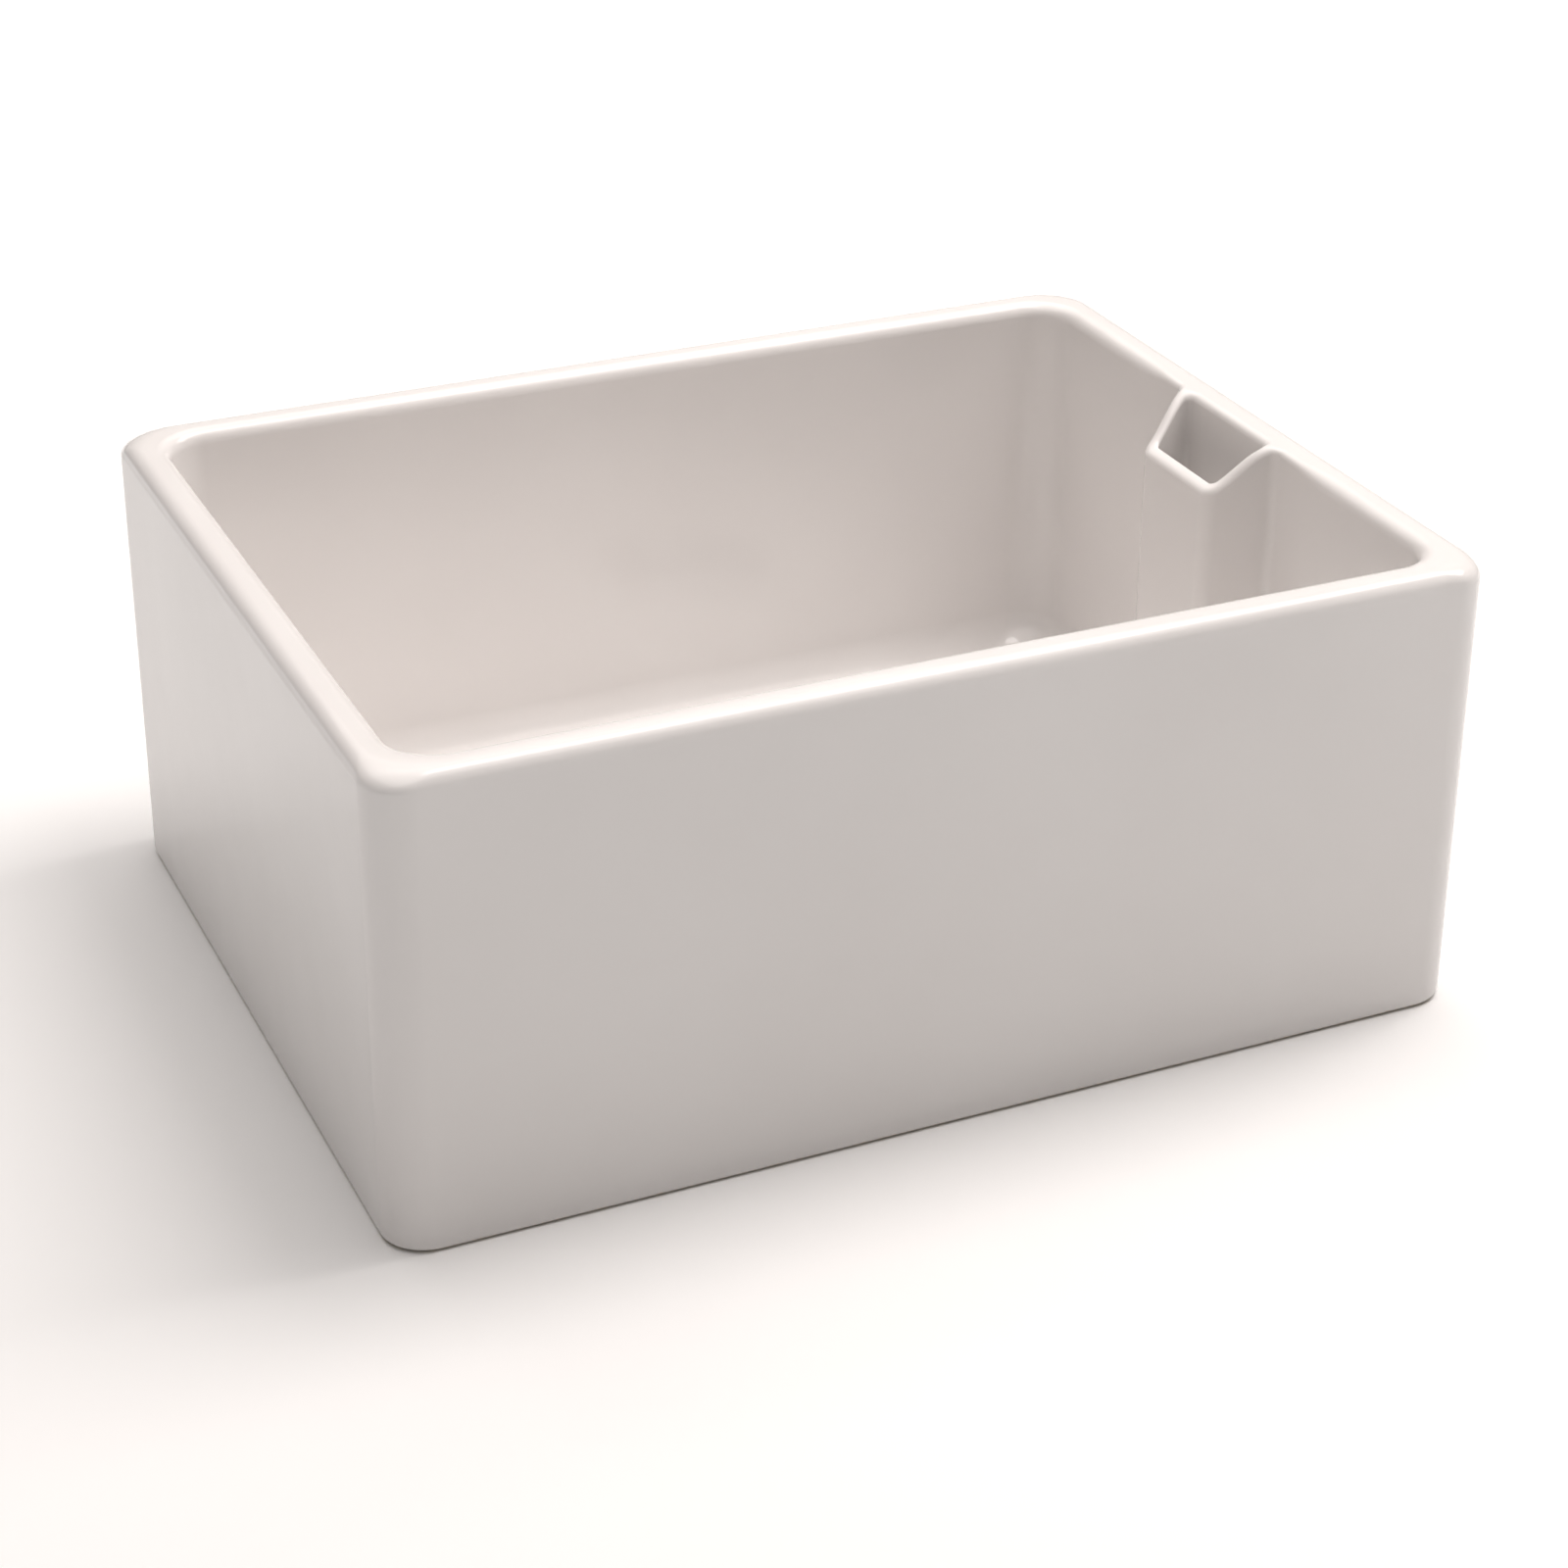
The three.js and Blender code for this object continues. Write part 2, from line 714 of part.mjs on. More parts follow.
function strainerCup() {
  const profile = sheetProfile([
    [flangeRadius, flangeTop - flangeLip],
    [flangeRadius, flangeTop, flangeRimBend],
    [throatRadius, flangeTop, throatBend],
    [throatRadius, ledgeLevel, ledgeBend],
    [ledgeRadius, ledgeLevel, ledgeBend],
    [cupFloorRadius, cupFloorLevel, cupFloorBend],
    [wellRadius, cupFloorLevel, wellMouthBend],
    [wellRadius, wellFloorLevel, wellFloorBend],
    [screwHoleRadius, wellFloorLevel],
  ], cupSheet);
  const holes = aroundAxis(drainHoleCount, () => upright(
    drainHoleRadius,
    cupFloorLevel - 2 * cupSheet,
    cupFloorLevel + cupSheet,
  ).translate(drainHolePitchRadius, 0, 0));
  return cut(solidOf(turned(profile, turnedSegments)), holes);
}

function flangeSeal() {
  return turnedRing(
    flangeSealInnerRadius,
    flangeSealOuterRadius,
    flangeSealBottom,
    flangeSealBottom + flangeSealThickness,
    turnedSegments,
  );
}

function undersideGasket() {
  return turnedRing(gasketInnerRadius, gasketOuterRadius, gasketBottom, gasketTop, turnedSegments);
}

// Flanged housing that narrows to a threaded spigot, with a ribbed hub across its middle.
function wasteBody() {
  const outside = [
    [spigotRadius, spigotEnd],
    [spigotRadius, spigotTop - bodyWall],
    [bodyOuterRadius, bodyStraightEnd - bodyWall],
  ];
  const shell = turned([
    [bodyInnerRadius, bodyTop],
    [bodyInnerRadius, bodyStraightEnd],
    [spigotBoreRadius, spigotTop],
    [spigotBoreRadius, spigotEnd],
    ...outside,
    [bodyOuterRadius, bodyTop - bodyFlangeThickness],
    [bodyFlangeRadius, bodyTop - bodyFlangeThickness],
    [bodyFlangeRadius, bodyTop],
  ], turnedSegments);
  const envelope = turned([
    [0, spigotEnd],
    ...outside,
    [bodyOuterRadius, bodyTop],
    [0, bodyTop],
  ], turnedSegments);
  const ribs = aroundAxis(ribCount, () => block(
    bodyInnerRadius,
    ribThickness,
    hubBottom,
    hubBottom + ribHeight,
  ).translate(bodyInnerRadius / 2, 0, 0));
  const frame = joined(solidOf(upright(hubRadius, hubBottom, hubTop, smallTurnedSegments)), ribs);
  const whole = solidOf(shell).add(frame.intersect(solidOf(envelope)));
  const seatShoulder = insertTop - insertShoulderHeight - seatGap;
  const insertSeat = turned([
    [0, insertBottom - seatGap],
    [insertRadius + seatGap, insertBottom - seatGap],
    [insertRadius + seatGap, seatShoulder],
    [insertShoulderRadius + seatGap, seatShoulder],
    [insertShoulderRadius + seatGap, hubTop + seatGap],
    [0, hubTop + seatGap],
  ]);
  const screwWay = upright(screwHoleRadius, hubBottom - seatGap, hubTop, smallTurnedSegments);
  return cut(whole, [insertSeat, screwWay]);
}

function threadedInsert() {
  return turned([
    [insertBoreRadius, insertBottom],
    [insertRadius, insertBottom],
    [insertRadius, insertTop - insertShoulderHeight],
    [insertShoulderRadius, insertTop - insertShoulderHeight],
    [insertShoulderRadius, insertTop],
    [insertBoreRadius, insertTop],
  ]);
}

function clampScrew() {
  const blank = solidOf(turned([
    [0, screwEnd],
    [screwRadius, screwEnd],
    [screwRadius, screwHeadBottom],
    [screwHeadRadius, screwHeadBottom],
    [screwHeadRadius, screwHeadTop - screwHeadChamfer],
    [screwHeadRadius - screwHeadChamfer, screwHeadTop],
    [0, screwHeadTop],
  ]));
  const slot = block(
    3 * screwHeadRadius,
    screwSlotWidth,
    screwHeadTop - screwSlotDepth,
    screwHeadTop + screwSlotDepth,
  );
  return cut(blank, [slot]);
}

function screwWasher() {
  return turnedRing(screwHoleRadius, screwWasherRadius, screwWasherBottom, screwWasherTop);
}

// ---------------------------------------------------------------- the lift-out basket

function basketCup() {
  const profile = sheetProfile([
    [basketBeadRadius, basketTop - 2 * basketBead],
    [basketBeadRadius, basketTop, basketBead],
    [basketMouthRadius, basketTop, basketMouthBend],
    [basketFloorRadius, basketFloorLevel, basketFloorBend],
    [bushBarrelRadius + seatGap, basketFloorLevel],
  ], basketSheet);
  const floorHoles = basketFloorHoleRings.flatMap(({ count, shareOfFloor }) => {
    const pitchRadius = THREE.MathUtils.lerp(bushHeadRadius, basketFloorRadius, shareOfFloor);
    return aroundAxis(count, () => upright(
      basketHoleRadius,
      basketUnderside - basketSheet,
      basketFloorLevel + basketSheet,
    ).translate(pitchRadius, 0, 0));
  });
  const sideHoles = aroundAxis(basketSideHoleCount, () => new THREE.CylinderGeometry(
    basketHoleRadius,
    basketHoleRadius,
    ledgeRadius - bushHeadRadius,
    holeSegments,
  ).rotateZ(Math.PI / 2).translate(
    (ledgeRadius + bushHeadRadius) / 2,
    0,
    basketFloorLevel + basketSideHoleHeight,
  ));
  return cut(solidOf(turned(profile, turnedSegments)), [...floorHoles, ...sideHoles]);
}

// Flanged bush: an inner groove holds the O-ring, an outer one the snap ring.
function basketBush() {
  const oRingRoom = oRingSection + seatGap;
  const grooveRadius = bushBarrelRadius - snapRingGrooveDepth;
  return turned([
    [bushBoreRadius, bushBottom],
    [bushBarrelRadius, bushBottom],
    [bushBarrelRadius, snapRingBottom - seatGap],
    [grooveRadius, snapRingBottom - seatGap],
    [grooveRadius, snapRingTop + seatGap / 2],
    [bushBarrelRadius, snapRingTop + seatGap / 2],
    [bushBarrelRadius, bushHeadBottom],
    [bushHeadRadius, bushHeadBottom],
    [bushHeadRadius, bushHeadTop - bushHeadChamfer],
    [bushHeadRadius - bushHeadChamfer, bushHeadTop],
    [bushBoreRadius, bushHeadTop],
    [bushBoreRadius, oRingLevel + oRingRoom],
    [oRingRadius + oRingRoom, oRingLevel + oRingRoom],
    [oRingRadius + oRingRoom, oRingLevel - oRingRoom],
    [bushBoreRadius, oRingLevel - oRingRoom],
  ]);
}

function bushSnapRing() {
  return turnedRing(snapRingInnerRadius, snapRingOuterRadius, snapRingBottom, snapRingTop);
}

function postORing() {
  const section = Array.from({ length: roundSectionSteps }, (_, k) => {
    const angle = (k / roundSectionSteps) * 2 * Math.PI;
    return [
      oRingRadius + oRingSection * Math.cos(angle),
      oRingLevel + oRingSection * Math.sin(angle),
    ];
  });
  return turned(section);
}

// ---------------------------------------------------------------- the push-pull plug

function plugPost() {
  const postTop = knobBottom + knobSocketDepth - seatGap;
  const postCollarRadius = postRadius + postCollarWidth;
  return turned([
    [0, postBottom],
    [postSpigotRadius, postBottom],
    [postSpigotRadius, collarBottom],
    [postCollarRadius, collarBottom],
    [postCollarRadius, collarTop],
    [postRadius, collarTop],
    [postRadius, knobBottom - seatGap],
    [postSpigotRadius, knobBottom - seatGap],
    [postSpigotRadius, postTop],
    [0, postTop],
  ]);
}

// Mushroom knob screwed on the post's upper end.
function postKnob() {
  const socketTop = knobBottom + knobSocketDepth;
  const capBottom = knobTop - knobCapHeight;
  const corners = [
    [plugHoleRadius, knobBottom],
    [knobNeckRadius, knobBottom, knobNeckBend],
    [knobNeckRadius, capBottom, knobUndersideBend],
    [knobRadius, capBottom, knobUndersideBend],
    [knobRadius, knobTop, knobCrownBend],
    [0, knobTop],
    [0, socketTop],
    [plugHoleRadius, socketTop],
  ].map(([x, y, radius]) => ({ x, y, radius }));
  return turned(roundedPath(corners).map(({ at }) => [at.x, at.y]));
}

function plugSeal() {
  return turned([
    [plugHoleRadius, plugSealBottom],
    [plugSealRadius - plugSealEdge, plugSealBottom],
    [plugSealRadius, plugSealBottom + plugSealEdge],
    [plugSealRadius, plugSealTop - plugSealEdge],
    [plugSealRadius - plugSealEdge, plugSealTop],
    [plugHoleRadius, plugSealTop],
  ], turnedSegments);
}

function upperPlate() {
  return turnedRing(
    plugHoleRadius,
    upperPlateRadius,
    upperPlateTop - plateThickness,
    upperPlateTop,
    turnedSegments,
  );
}

function lowerPlate() {
  return turnedRing(plugHoleRadius, lowerPlateRadius, lowerPlateTop - plateThickness, lowerPlateTop);
}

function plugNut() {
  const flats = 6;
  const outerRadius = nutAcrossFlats / 2 / Math.cos(Math.PI / flats);
  const shape = new THREE.Shape();
  for (let k = 0; k < flats; k += 1) {
    const angle = (k / flats) * 2 * Math.PI;
    const corner = [outerRadius * Math.cos(angle), outerRadius * Math.sin(angle)];
    if (k === 0) shape.moveTo(...corner);
    else shape.lineTo(...corner);
  }
  shape.closePath();
  const hole = new THREE.Path();
  hole.absarc(0, 0, plugHoleRadius, 0, 2 * Math.PI, true);
  shape.holes.push(hole);
  const geometry = new THREE.ExtrudeGeometry(shape, {
    depth: nutHeight,
    bevelEnabled: false,
    curveSegments: smallTurnedSegments / 2,
  });
  return geometry.translate(0, 0, nutTop - nutHeight);
}

// ---------------------------------------------------------------- the assembly

const finishes = {
  fireclay: new THREE.MeshStandardMaterial({ color: 0xf1ede7, roughness: 0.12 }),
  steel: new THREE.MeshStandardMaterial({ color: 0xb9bbbd, roughness: 0.3, metalness: 1 }),
  brass: new THREE.MeshStandardMaterial({ color: 0xc9a04e, roughness: 0.35, metalness: 1 }),
  rubber: new THREE.MeshStandardMaterial({ color: 0x1e1f20, roughness: 0.75 }),
  foam: new THREE.MeshStandardMaterial({ color: 0x9a9c9c, roughness: 0.9 }),
  whitePlastic: new THREE.MeshStandardMaterial({ color: 0xe9e9e6, roughness: 0.45 }),
  nylon: new THREE.MeshStandardMaterial({ color: 0xded9cc, roughness: 0.5 }),
};

function named(name, shape, material) {
  const geometry = shape.isBufferGeometry ? shape : geometryOf(shape);
  geometry.computeVertexNormals();
  const mesh = new THREE.Mesh(geometry, material);
  mesh.name = name;
  return mesh;
}

function group(x, meshes) {
  const holder = new THREE.Group();
  holder.position.x = x;
  holder.add(...meshes);
  return holder;
}

const fixedWaste = group(outletX, [
  named('strainer_cup', strainerCup(), finishes.steel),
  named('flange_seal', flangeSeal(), finishes.foam),
  named('underside_gasket', undersideGasket(), finishes.rubber),
  named('waste_body', wasteBody(), finishes.whitePlastic),
  named('threaded_insert', threadedInsert(), finishes.brass),
  named('clamp_screw', clampScrew(), finishes.steel),
  named('screw_washer', screwWasher(), finishes.nylon),
]);

const basket = group(0, [
  named('basket_cup', basketCup(), finishes.steel),
  named('basket_bush', basketBush(), finishes.nylon),
  named('bush_snap_ring', bushSnapRing(), finishes.steel),
  named('post_o_ring', postORing(), finishes.rubber),
]);

const plug = group(0, [
  named('plug_post', plugPost(), finishes.steel),
  named('post_knob', postKnob(), finishes.steel),
  named('plug_seal', plugSeal(), finishes.rubber),
  named('seal_upper_plate', upperPlate(), finishes.steel),
  named('seal_lower_plate', lowerPlate(), finishes.steel),
  named('plug_nut', plugNut(), finishes.brass),
]);

const sink = new THREE.Group();
sink.add(named('sink_body', sinkBody(), finishes.fireclay), fixedWaste);
fixedWaste.add(basket);
basket.add(plug);

export default sink;
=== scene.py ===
import math

import bmesh
import bpy
from mathutils import Matrix, Vector


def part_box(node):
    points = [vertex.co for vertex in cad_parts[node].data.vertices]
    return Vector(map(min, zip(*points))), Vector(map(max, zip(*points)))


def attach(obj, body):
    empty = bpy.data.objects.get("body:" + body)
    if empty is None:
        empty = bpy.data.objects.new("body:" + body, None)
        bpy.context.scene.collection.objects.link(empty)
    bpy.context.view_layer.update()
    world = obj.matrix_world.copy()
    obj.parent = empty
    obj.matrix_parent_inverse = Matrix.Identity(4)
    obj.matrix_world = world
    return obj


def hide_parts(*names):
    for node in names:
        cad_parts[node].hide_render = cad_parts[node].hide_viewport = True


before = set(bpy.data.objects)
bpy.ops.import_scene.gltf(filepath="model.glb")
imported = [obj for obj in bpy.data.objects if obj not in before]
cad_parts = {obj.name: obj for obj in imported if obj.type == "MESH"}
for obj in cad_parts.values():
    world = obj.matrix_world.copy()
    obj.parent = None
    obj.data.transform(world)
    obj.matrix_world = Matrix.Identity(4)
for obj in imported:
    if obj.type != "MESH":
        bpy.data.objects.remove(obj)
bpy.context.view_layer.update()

MM = 0.001

# ---------------------------------------------------------------- the camera
# It looks at the apron from above, a little from the left, as the photograph does. The
# shift lowers the sink in the frame, as a view camera's rising front would.
turn, look_down, tilt = math.radians(-24.20), math.radians(26.27), math.radians(0.28)
camera_place = Vector((-679.78, -1511.95, 960.95)) * MM
back = Vector((math.sin(turn) * math.cos(look_down), -math.cos(turn) * math.cos(look_down),
               math.sin(look_down)))
level = Vector((0, 0, 1)).cross(back).normalized()
upright = back.cross(level)
right = level * math.cos(tilt) + upright * math.sin(tilt)
above = upright * math.cos(tilt) - level * math.sin(tilt)
lens = bpy.data.cameras.new("studio_camera")
lens.sensor_width = 36
lens.lens = 78.543
lens.shift_x = 0.00625
lens.shift_y = -0.0625
lens.clip_end = 60
camera = bpy.data.objects.new("studio_camera", lens)
camera.matrix_world = Matrix.Translation(camera_place) @ Matrix(
    (right, above, back)).transposed().to_4x4()
bpy.context.scene.collection.objects.link(camera)
bpy.context.scene.camera = camera

# ---------------------------------------------------------------- the fireclay bowl
# One thick casting of fireclay with its weir box, glazed white and fired. The slip-cast
# walls, rim and floor are rounded by hand before firing, and the glaze stops short of the
# foot, on which the bowl stood in the kiln.
sink_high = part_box("sink_body")[1]
half_length, half_depth, rim_height = sink_high.x, sink_high.y, sink_high.z
wall = 22 * MM
floor_height = 28 * MM
floor_fall = 3 * MM
outer_corner, inner_corner = 22 * MM, 24 * MM
foot_rounding, rim_outer_rounding, rim_inner_rounding = 4 * MM, 9 * MM, 8 * MM
floor_fillet = 24 * MM
inner_x, inner_y = half_length - wall, half_depth - wall
weir_reach, weir_drop = 34 * MM, 26 * MM
weir_half_root, weir_half_lip, weir_wall = 51 * MM, 35 * MM, 7.5 * MM
weir_root_radius, weir_lip_radius = 7 * MM, 11 * MM
weir_edge_rounding, weir_edge_ease = 3.5 * MM, 45 * MM
pit_edge_rounding, pit_corner, pit_foot = 4.5 * MM, 4.5 * MM, 6 * MM
pit_floor = rim_height - 82 * MM
bore_radius, bore_steps = 11.75 * MM, 32
duct_low, duct_high, duct_half, duct_corner = 5.75 * MM, 14.75 * MM, 23 * MM, 11 * MM
waste_x = sum(p.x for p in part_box("strainer_cup")) / 2
outlet_radius, recess_radius, outlet_edge = 46 * MM, 58.5 * MM, 3 * MM
recess_height = 20.5 * MM
seat_radius, seat_depth = 58 * MM, 1.2 * MM
dish_margin, dish_squareness, dish_steps, way_count = 4 * MM, 7, 10, 96
small_steps, rim_steps, edge_steps, fillet_steps, pit_steps, duct_steps = 5, 10, 9, 12, 6, 6


def smooth_step(share):
    """Goes from 0 to 1 with level ends."""
    share = min(max(share, 0.0), 1.0)
    return share * share * (3 - 2 * share)


def quarter(steps):
    """Sine and cosine of the angles that divide a quarter turn, from its start to its end."""
    angles = [math.pi / 2 * k / steps for k in range(steps + 1)]
    return [(math.sin(a), math.cos(a)) for a in angles]


def plan(corners, out=0.0):
    """Points of a closed outline in plan, its corners rounded, the whole set out by `out`.
    A corner is (x, y, radius, segments, cuts), where cuts divide the run after it."""
    points = [Vector(corner[:2]) for corner in corners]
    bm = bmesh.new()
    rounding = []
    for i, here in enumerate(points):
        before = (here - points[i - 1]).normalized()
        after = (points[(i + 1) % len(points)] - here).normalized()
        bend = math.atan2(before.cross(after), before.dot(after))
        side = Vector((before.y + after.y, -before.x - after.x)) * out / (1 + before.dot(after))
        vert = bm.verts.new((here + side).to_3d())
        radius = max(corners[i][2] + math.copysign(out, bend), 0.25 * MM)
        rounding.append((vert, radius * math.tan(abs(bend) / 2), corners[i][3]))
    bm.faces.new([vert for vert, _, _ in rounding])
    middles = []
    for (here, offset, _), (there, trim, _) in zip(rounding, rounding[1:] + rounding[:1]):
        run = (there.co - here.co).normalized()
        middles.append((here.co + run * offset + there.co - run * trim) / 2)
    for vert, offset, segments in rounding:
        bmesh.ops.bevel(bm, geom=[vert], offset=offset, offset_type="OFFSET",
                        segments=segments, profile=0.5, affect="VERTICES", material=-1)
    for middle, corner in zip(middles, corners):
        run = min(bm.edges, key=lambda e: (e.verts[0].co + e.verts[1].co - middle * 2).length)
        bmesh.ops.subdivide_edges(bm, edges=[run], cuts=corner[4])
    outline = [loop.vert.co.copy() for loop in bm.faces[:][0].loops]
    bm.free()
    start = outline.index(min(outline, key=lambda p: (p - middles[-1]).length))
    return outline[start:] + outline[:start]


def first_ring(bm, places):
    """A closed ring of new vertices and edges."""
    ring = [bm.verts.new(place) for place in places]
    for a, b in zip(ring, ring[1:] + ring[:1]):
        bm.edges.new((a, b))
    return ring


def ring_edges(bm, ring, closed=True):
    pairs = zip(ring, ring[1:] + (ring[:1] if closed else []))
    return [bm.edges.get(pair) for pair in pairs]


def next_ring(bm, ring, places):
    """Extrudes a ring of vertices and moves the copy to its places."""
    made = bmesh.ops.extrude_edge_only(bm, edges=ring_edges(bm, ring))["geom"]
    fresh = {item for item in made if isinstance(item, bmesh.types.BMVert)}
    copy = [next(e.other_vert(v) for e in v.link_edges if e.other_vert(v) in fresh) for v in ring]
    for vert, place in zip(copy, places):
        vert.co = place
    return copy


def fill(bm, *rings):
    """Closes the level ground between rings."""
    edges = [edge for ring in rings for edge in ring_edges(bm, ring)]
    bmesh.ops.triangle_fill(bm, use_beauty=True, use_dissolve=False, edges=edges,
                            normal=(0, 0, 1))


def circle(radius, height, steps, x):
    """Points of a level circle round (x, 0), from its right-hand end on."""
    bm = bmesh.new()
    bmesh.ops.create_circle(bm, segments=steps, radius=radius,
                            matrix=Matrix.Translation((x, 0, height)))
    places = sorted((v.co.copy() for v in bm.verts),
                    key=lambda p: math.atan2(p.y, p.x - x) % (2 * math.pi - 1e-6))
    bm.free()
    return places


def piece(name, bm, material):
    """Makes the finished mesh an object: closed, facing out, creased where it turns sharply."""
    sharp = math.radians(32)
    bmesh.ops.remove_doubles(bm, verts=bm.verts[:], dist=1e-6)
    bmesh.ops.dissolve_degenerate(bm, edges=bm.edges[:], dist=1e-7)
    bmesh.ops.recalc_face_normals(bm, faces=bm.faces[:])
    for face in bm.faces:
        face.smooth = True
    for edge in bm.edges:
        edge.smooth = edge.is_manifold and edge.calc_face_angle() < sharp
    mesh = bpy.data.meshes.new(name)
    bm.to_mesh(mesh)
    bm.free()
    obj = bpy.data.objects.new(name, mesh)
    bpy.context.scene.collection.objects.link(obj)
    mesh.materials.append(material)
    even = obj.modifiers.new("even_shading", "WEIGHTED_NORMAL")
    even.keep_sharp = True
    even.weight = 60
    return obj


def weir_top(x):
    """The height of the weir box's edge, which dips from the rim to the lip."""
    return rim_height - weir_drop * smooth_step((inner_x - x) / weir_reach)


def bowl_corners():
    """The inside of the walls in plan, with the weir box as a step in the right-hand one."""
    root = (weir_root_radius, 10)
    lip = (weir_lip_radius, 22)
    return [
        (-inner_x, -inner_y, inner_corner, 14, 7),
        (inner_x, -inner_y, inner_corner, 14, 9),
        (inner_x, -weir_half_root, *root, 15),
        (inner_x - weir_reach, -weir_half_lip, *lip, 5),
        (inner_x - weir_reach, weir_half_lip, *lip, 15),
        (inner_x, weir_half_root, *root, 9),
        (inner_x, inner_y, inner_corner, 14, 7),
        (-inner_x, inner_y, inner_corner, 14, 5),
    ]


def clear_of_weir(place):
    """How far along the end wall a point of the bowl's edge is from the weir box."""
    return 1.0 if place.x < 0 else max(abs(place.y) - weir_half_root - weir_root_radius, 0)


lip_x = inner_x - weir_reach + weir_wall


def pit_corners():
    """The pit in plan, one wall's thickness inside the weir box."""
    spread = (weir_half_root - weir_half_lip) / weir_reach
    side = weir_wall * math.hypot(1, spread)
    at_lip = weir_half_lip + spread * weir_wall - side
    at_wall = weir_half_root - side
    return [
        (lip_x, -at_lip, pit_corner, 10, 15),
        (inner_x, -at_wall, pit_corner, 8, 5),
        (inner_x, at_wall, pit_corner, 8, 15),
        (lip_x, at_lip, pit_corner, 10, 5),
    ]


def raised(places, heights):
    return [Vector((p.x, p.y, z)) for p, z in zip(places, heights)]


bowl = bmesh.new()

# The outside, from the foot's edge up the walls and over the rim.
block_corners = [(x * half_length, y * half_depth, outer_corner, 16, 5)
                 for x, y in ((-1, -1), (1, -1), (1, 1), (-1, 1))]
underside = ring = first_ring(bowl, plan(block_corners, -foot_rounding))
for sine, cosine in quarter(small_steps)[1:]:
    places = plan(block_corners, -foot_rounding * (1 - sine))
    ring = next_ring(bowl, ring, raised(places, [foot_rounding * (1 - cosine)] * len(places)))
for sine, cosine in quarter(rim_steps):
    places = plan(block_corners, -rim_outer_rounding * (1 - cosine))
    heights = [rim_height - rim_outer_rounding * (1 - sine)] * len(places)
    ring = next_ring(bowl, ring, raised(places, heights))
rim_outside = ring

# The inside, from the rim down the walls, with the weir box standing out of the end wall.
straight = plan(bowl_corners())
outward = [b - a for a, b in zip(straight, plan(bowl_corners(), MM))]
edge_radius = []
for place in straight:
    share = smooth_step(clear_of_weir(place) / weir_edge_ease)
    edge_radius.append(weir_edge_rounding + (rim_inner_rounding - weir_edge_rounding) * share)


def bowl_level(place, start):
    """The height of the bowl's edge at a place that started from a point of the wall."""
    return weir_top(place.x) if clear_of_weir(start) == 0 else rim_height


ring = None
for sine, cosine in reversed(quarter(edge_steps)):
    places = [p + way * (r / MM) * (1 - cosine)
              for p, way, r in zip(straight, outward, edge_radius)]
    heights = [bowl_level(p, start) - r * (1 - sine)
               for p, start, r in zip(places, straight, edge_radius)]
    places = raised(places, heights)
    ring = next_ring(bowl, ring, places) if ring else first_ring(bowl, places)
    if cosine < 1e-9:
        bowl_rim = ring
for sine, cosine in quarter(fillet_steps):
    places = plan(bowl_corners(), -floor_fillet * (1 - cosine))
    heights = [floor_height + floor_fillet * (1 - sine)] * len(places)
    ring = next_ring(bowl, ring, raised(places, heights))
floor_edge = ring

# The pit behind the weir's lip, and the bore at its foot.
pit_straight = plan(pit_corners())
pit_outward = [b - a for a, b in zip(pit_straight, plan(pit_corners(), MM))]
pit_radius = [weir_edge_rounding + (pit_edge_rounding - weir_edge_rounding)
              * smooth_step((p.x - lip_x) / (inner_x - lip_x)) for p in pit_straight]
ring = None
for sine, cosine in reversed(quarter(edge_steps)):
    places = [p + way * (r / MM) * (1 - cosine)
              for p, way, r in zip(pit_straight, pit_outward, pit_radius)]
    places = raised(places, [weir_top(p.x) - r * (1 - sine) for p, r in zip(places, pit_radius)])
    ring = next_ring(bowl, ring, places) if ring else first_ring(bowl, places)
    if cosine < 1e-9:
        pit_rim = ring
for sine, cosine in quarter(pit_steps):
    places = plan(pit_corners(), -min(pit_foot, pit_corner * 0.98) * (1 - cosine))
    heights = [pit_floor + pit_foot * (1 - sine)] * len(places)
    ring = next_ring(bowl, ring, raised(places, heights))
bore_x = (lip_x + inner_x) / 2
bore_mouth = first_ring(bowl, circle(bore_radius, pit_floor, bore_steps, bore_x))
fill(bowl, ring, bore_mouth)

# The top of the rim is flat. The weir's own edge is a narrow band between bowl and pit.
bowl_front = min((v for v in bowl_rim if v.co.y < 0 and v.co.x > inner_x), key=lambda v: -v.co.y)
bowl_rear = min((v for v in bowl_rim if v.co.y > 0 and v.co.x > inner_x), key=lambda v: v.co.y)
pit_front = min((v for v in pit_rim if v.co.x >= inner_x), key=lambda v: v.co.y)
pit_rear = max((v for v in pit_rim if v.co.x >= inner_x), key=lambda v: v.co.y)


def stretch(ring, start, end):
    """The vertices of a ring from one of them on to another."""
    i, j = ring.index(start), ring.index(end)
    return ring[i:j + 1] if i <= j else ring[i:] + ring[:j + 1]


lip_outside = stretch(bowl_rim, bowl_front, bowl_rear)
lip_inside = stretch(pit_rim, pit_rear, pit_front)[::-1]
bmesh.ops.bridge_loops(bowl, edges=ring_edges(bowl, lip_outside, False)
                       + ring_edges(bowl, lip_inside, False))
rest_of_bowl = stretch(bowl_rim, bowl_rear, bowl_front)
behind_pit = stretch(pit_rim, pit_front, pit_rear)
fill(bowl, rim_outside, rest_of_bowl + behind_pit)

# The floor falls a little to the outlet from all sides.
dish_right = inner_x - weir_reach - floor_fillet - dish_margin
dish_left = -inner_x + floor_fillet + dish_margin
dish_half = inner_y - floor_fillet - dish_margin
outlet_height = floor_height - floor_fall
dish_start = recess_radius + outlet_edge
ways = [(p - Vector((waste_x, 0, 0))).normalized() for p in circle(1, 0, way_count, waste_x)]


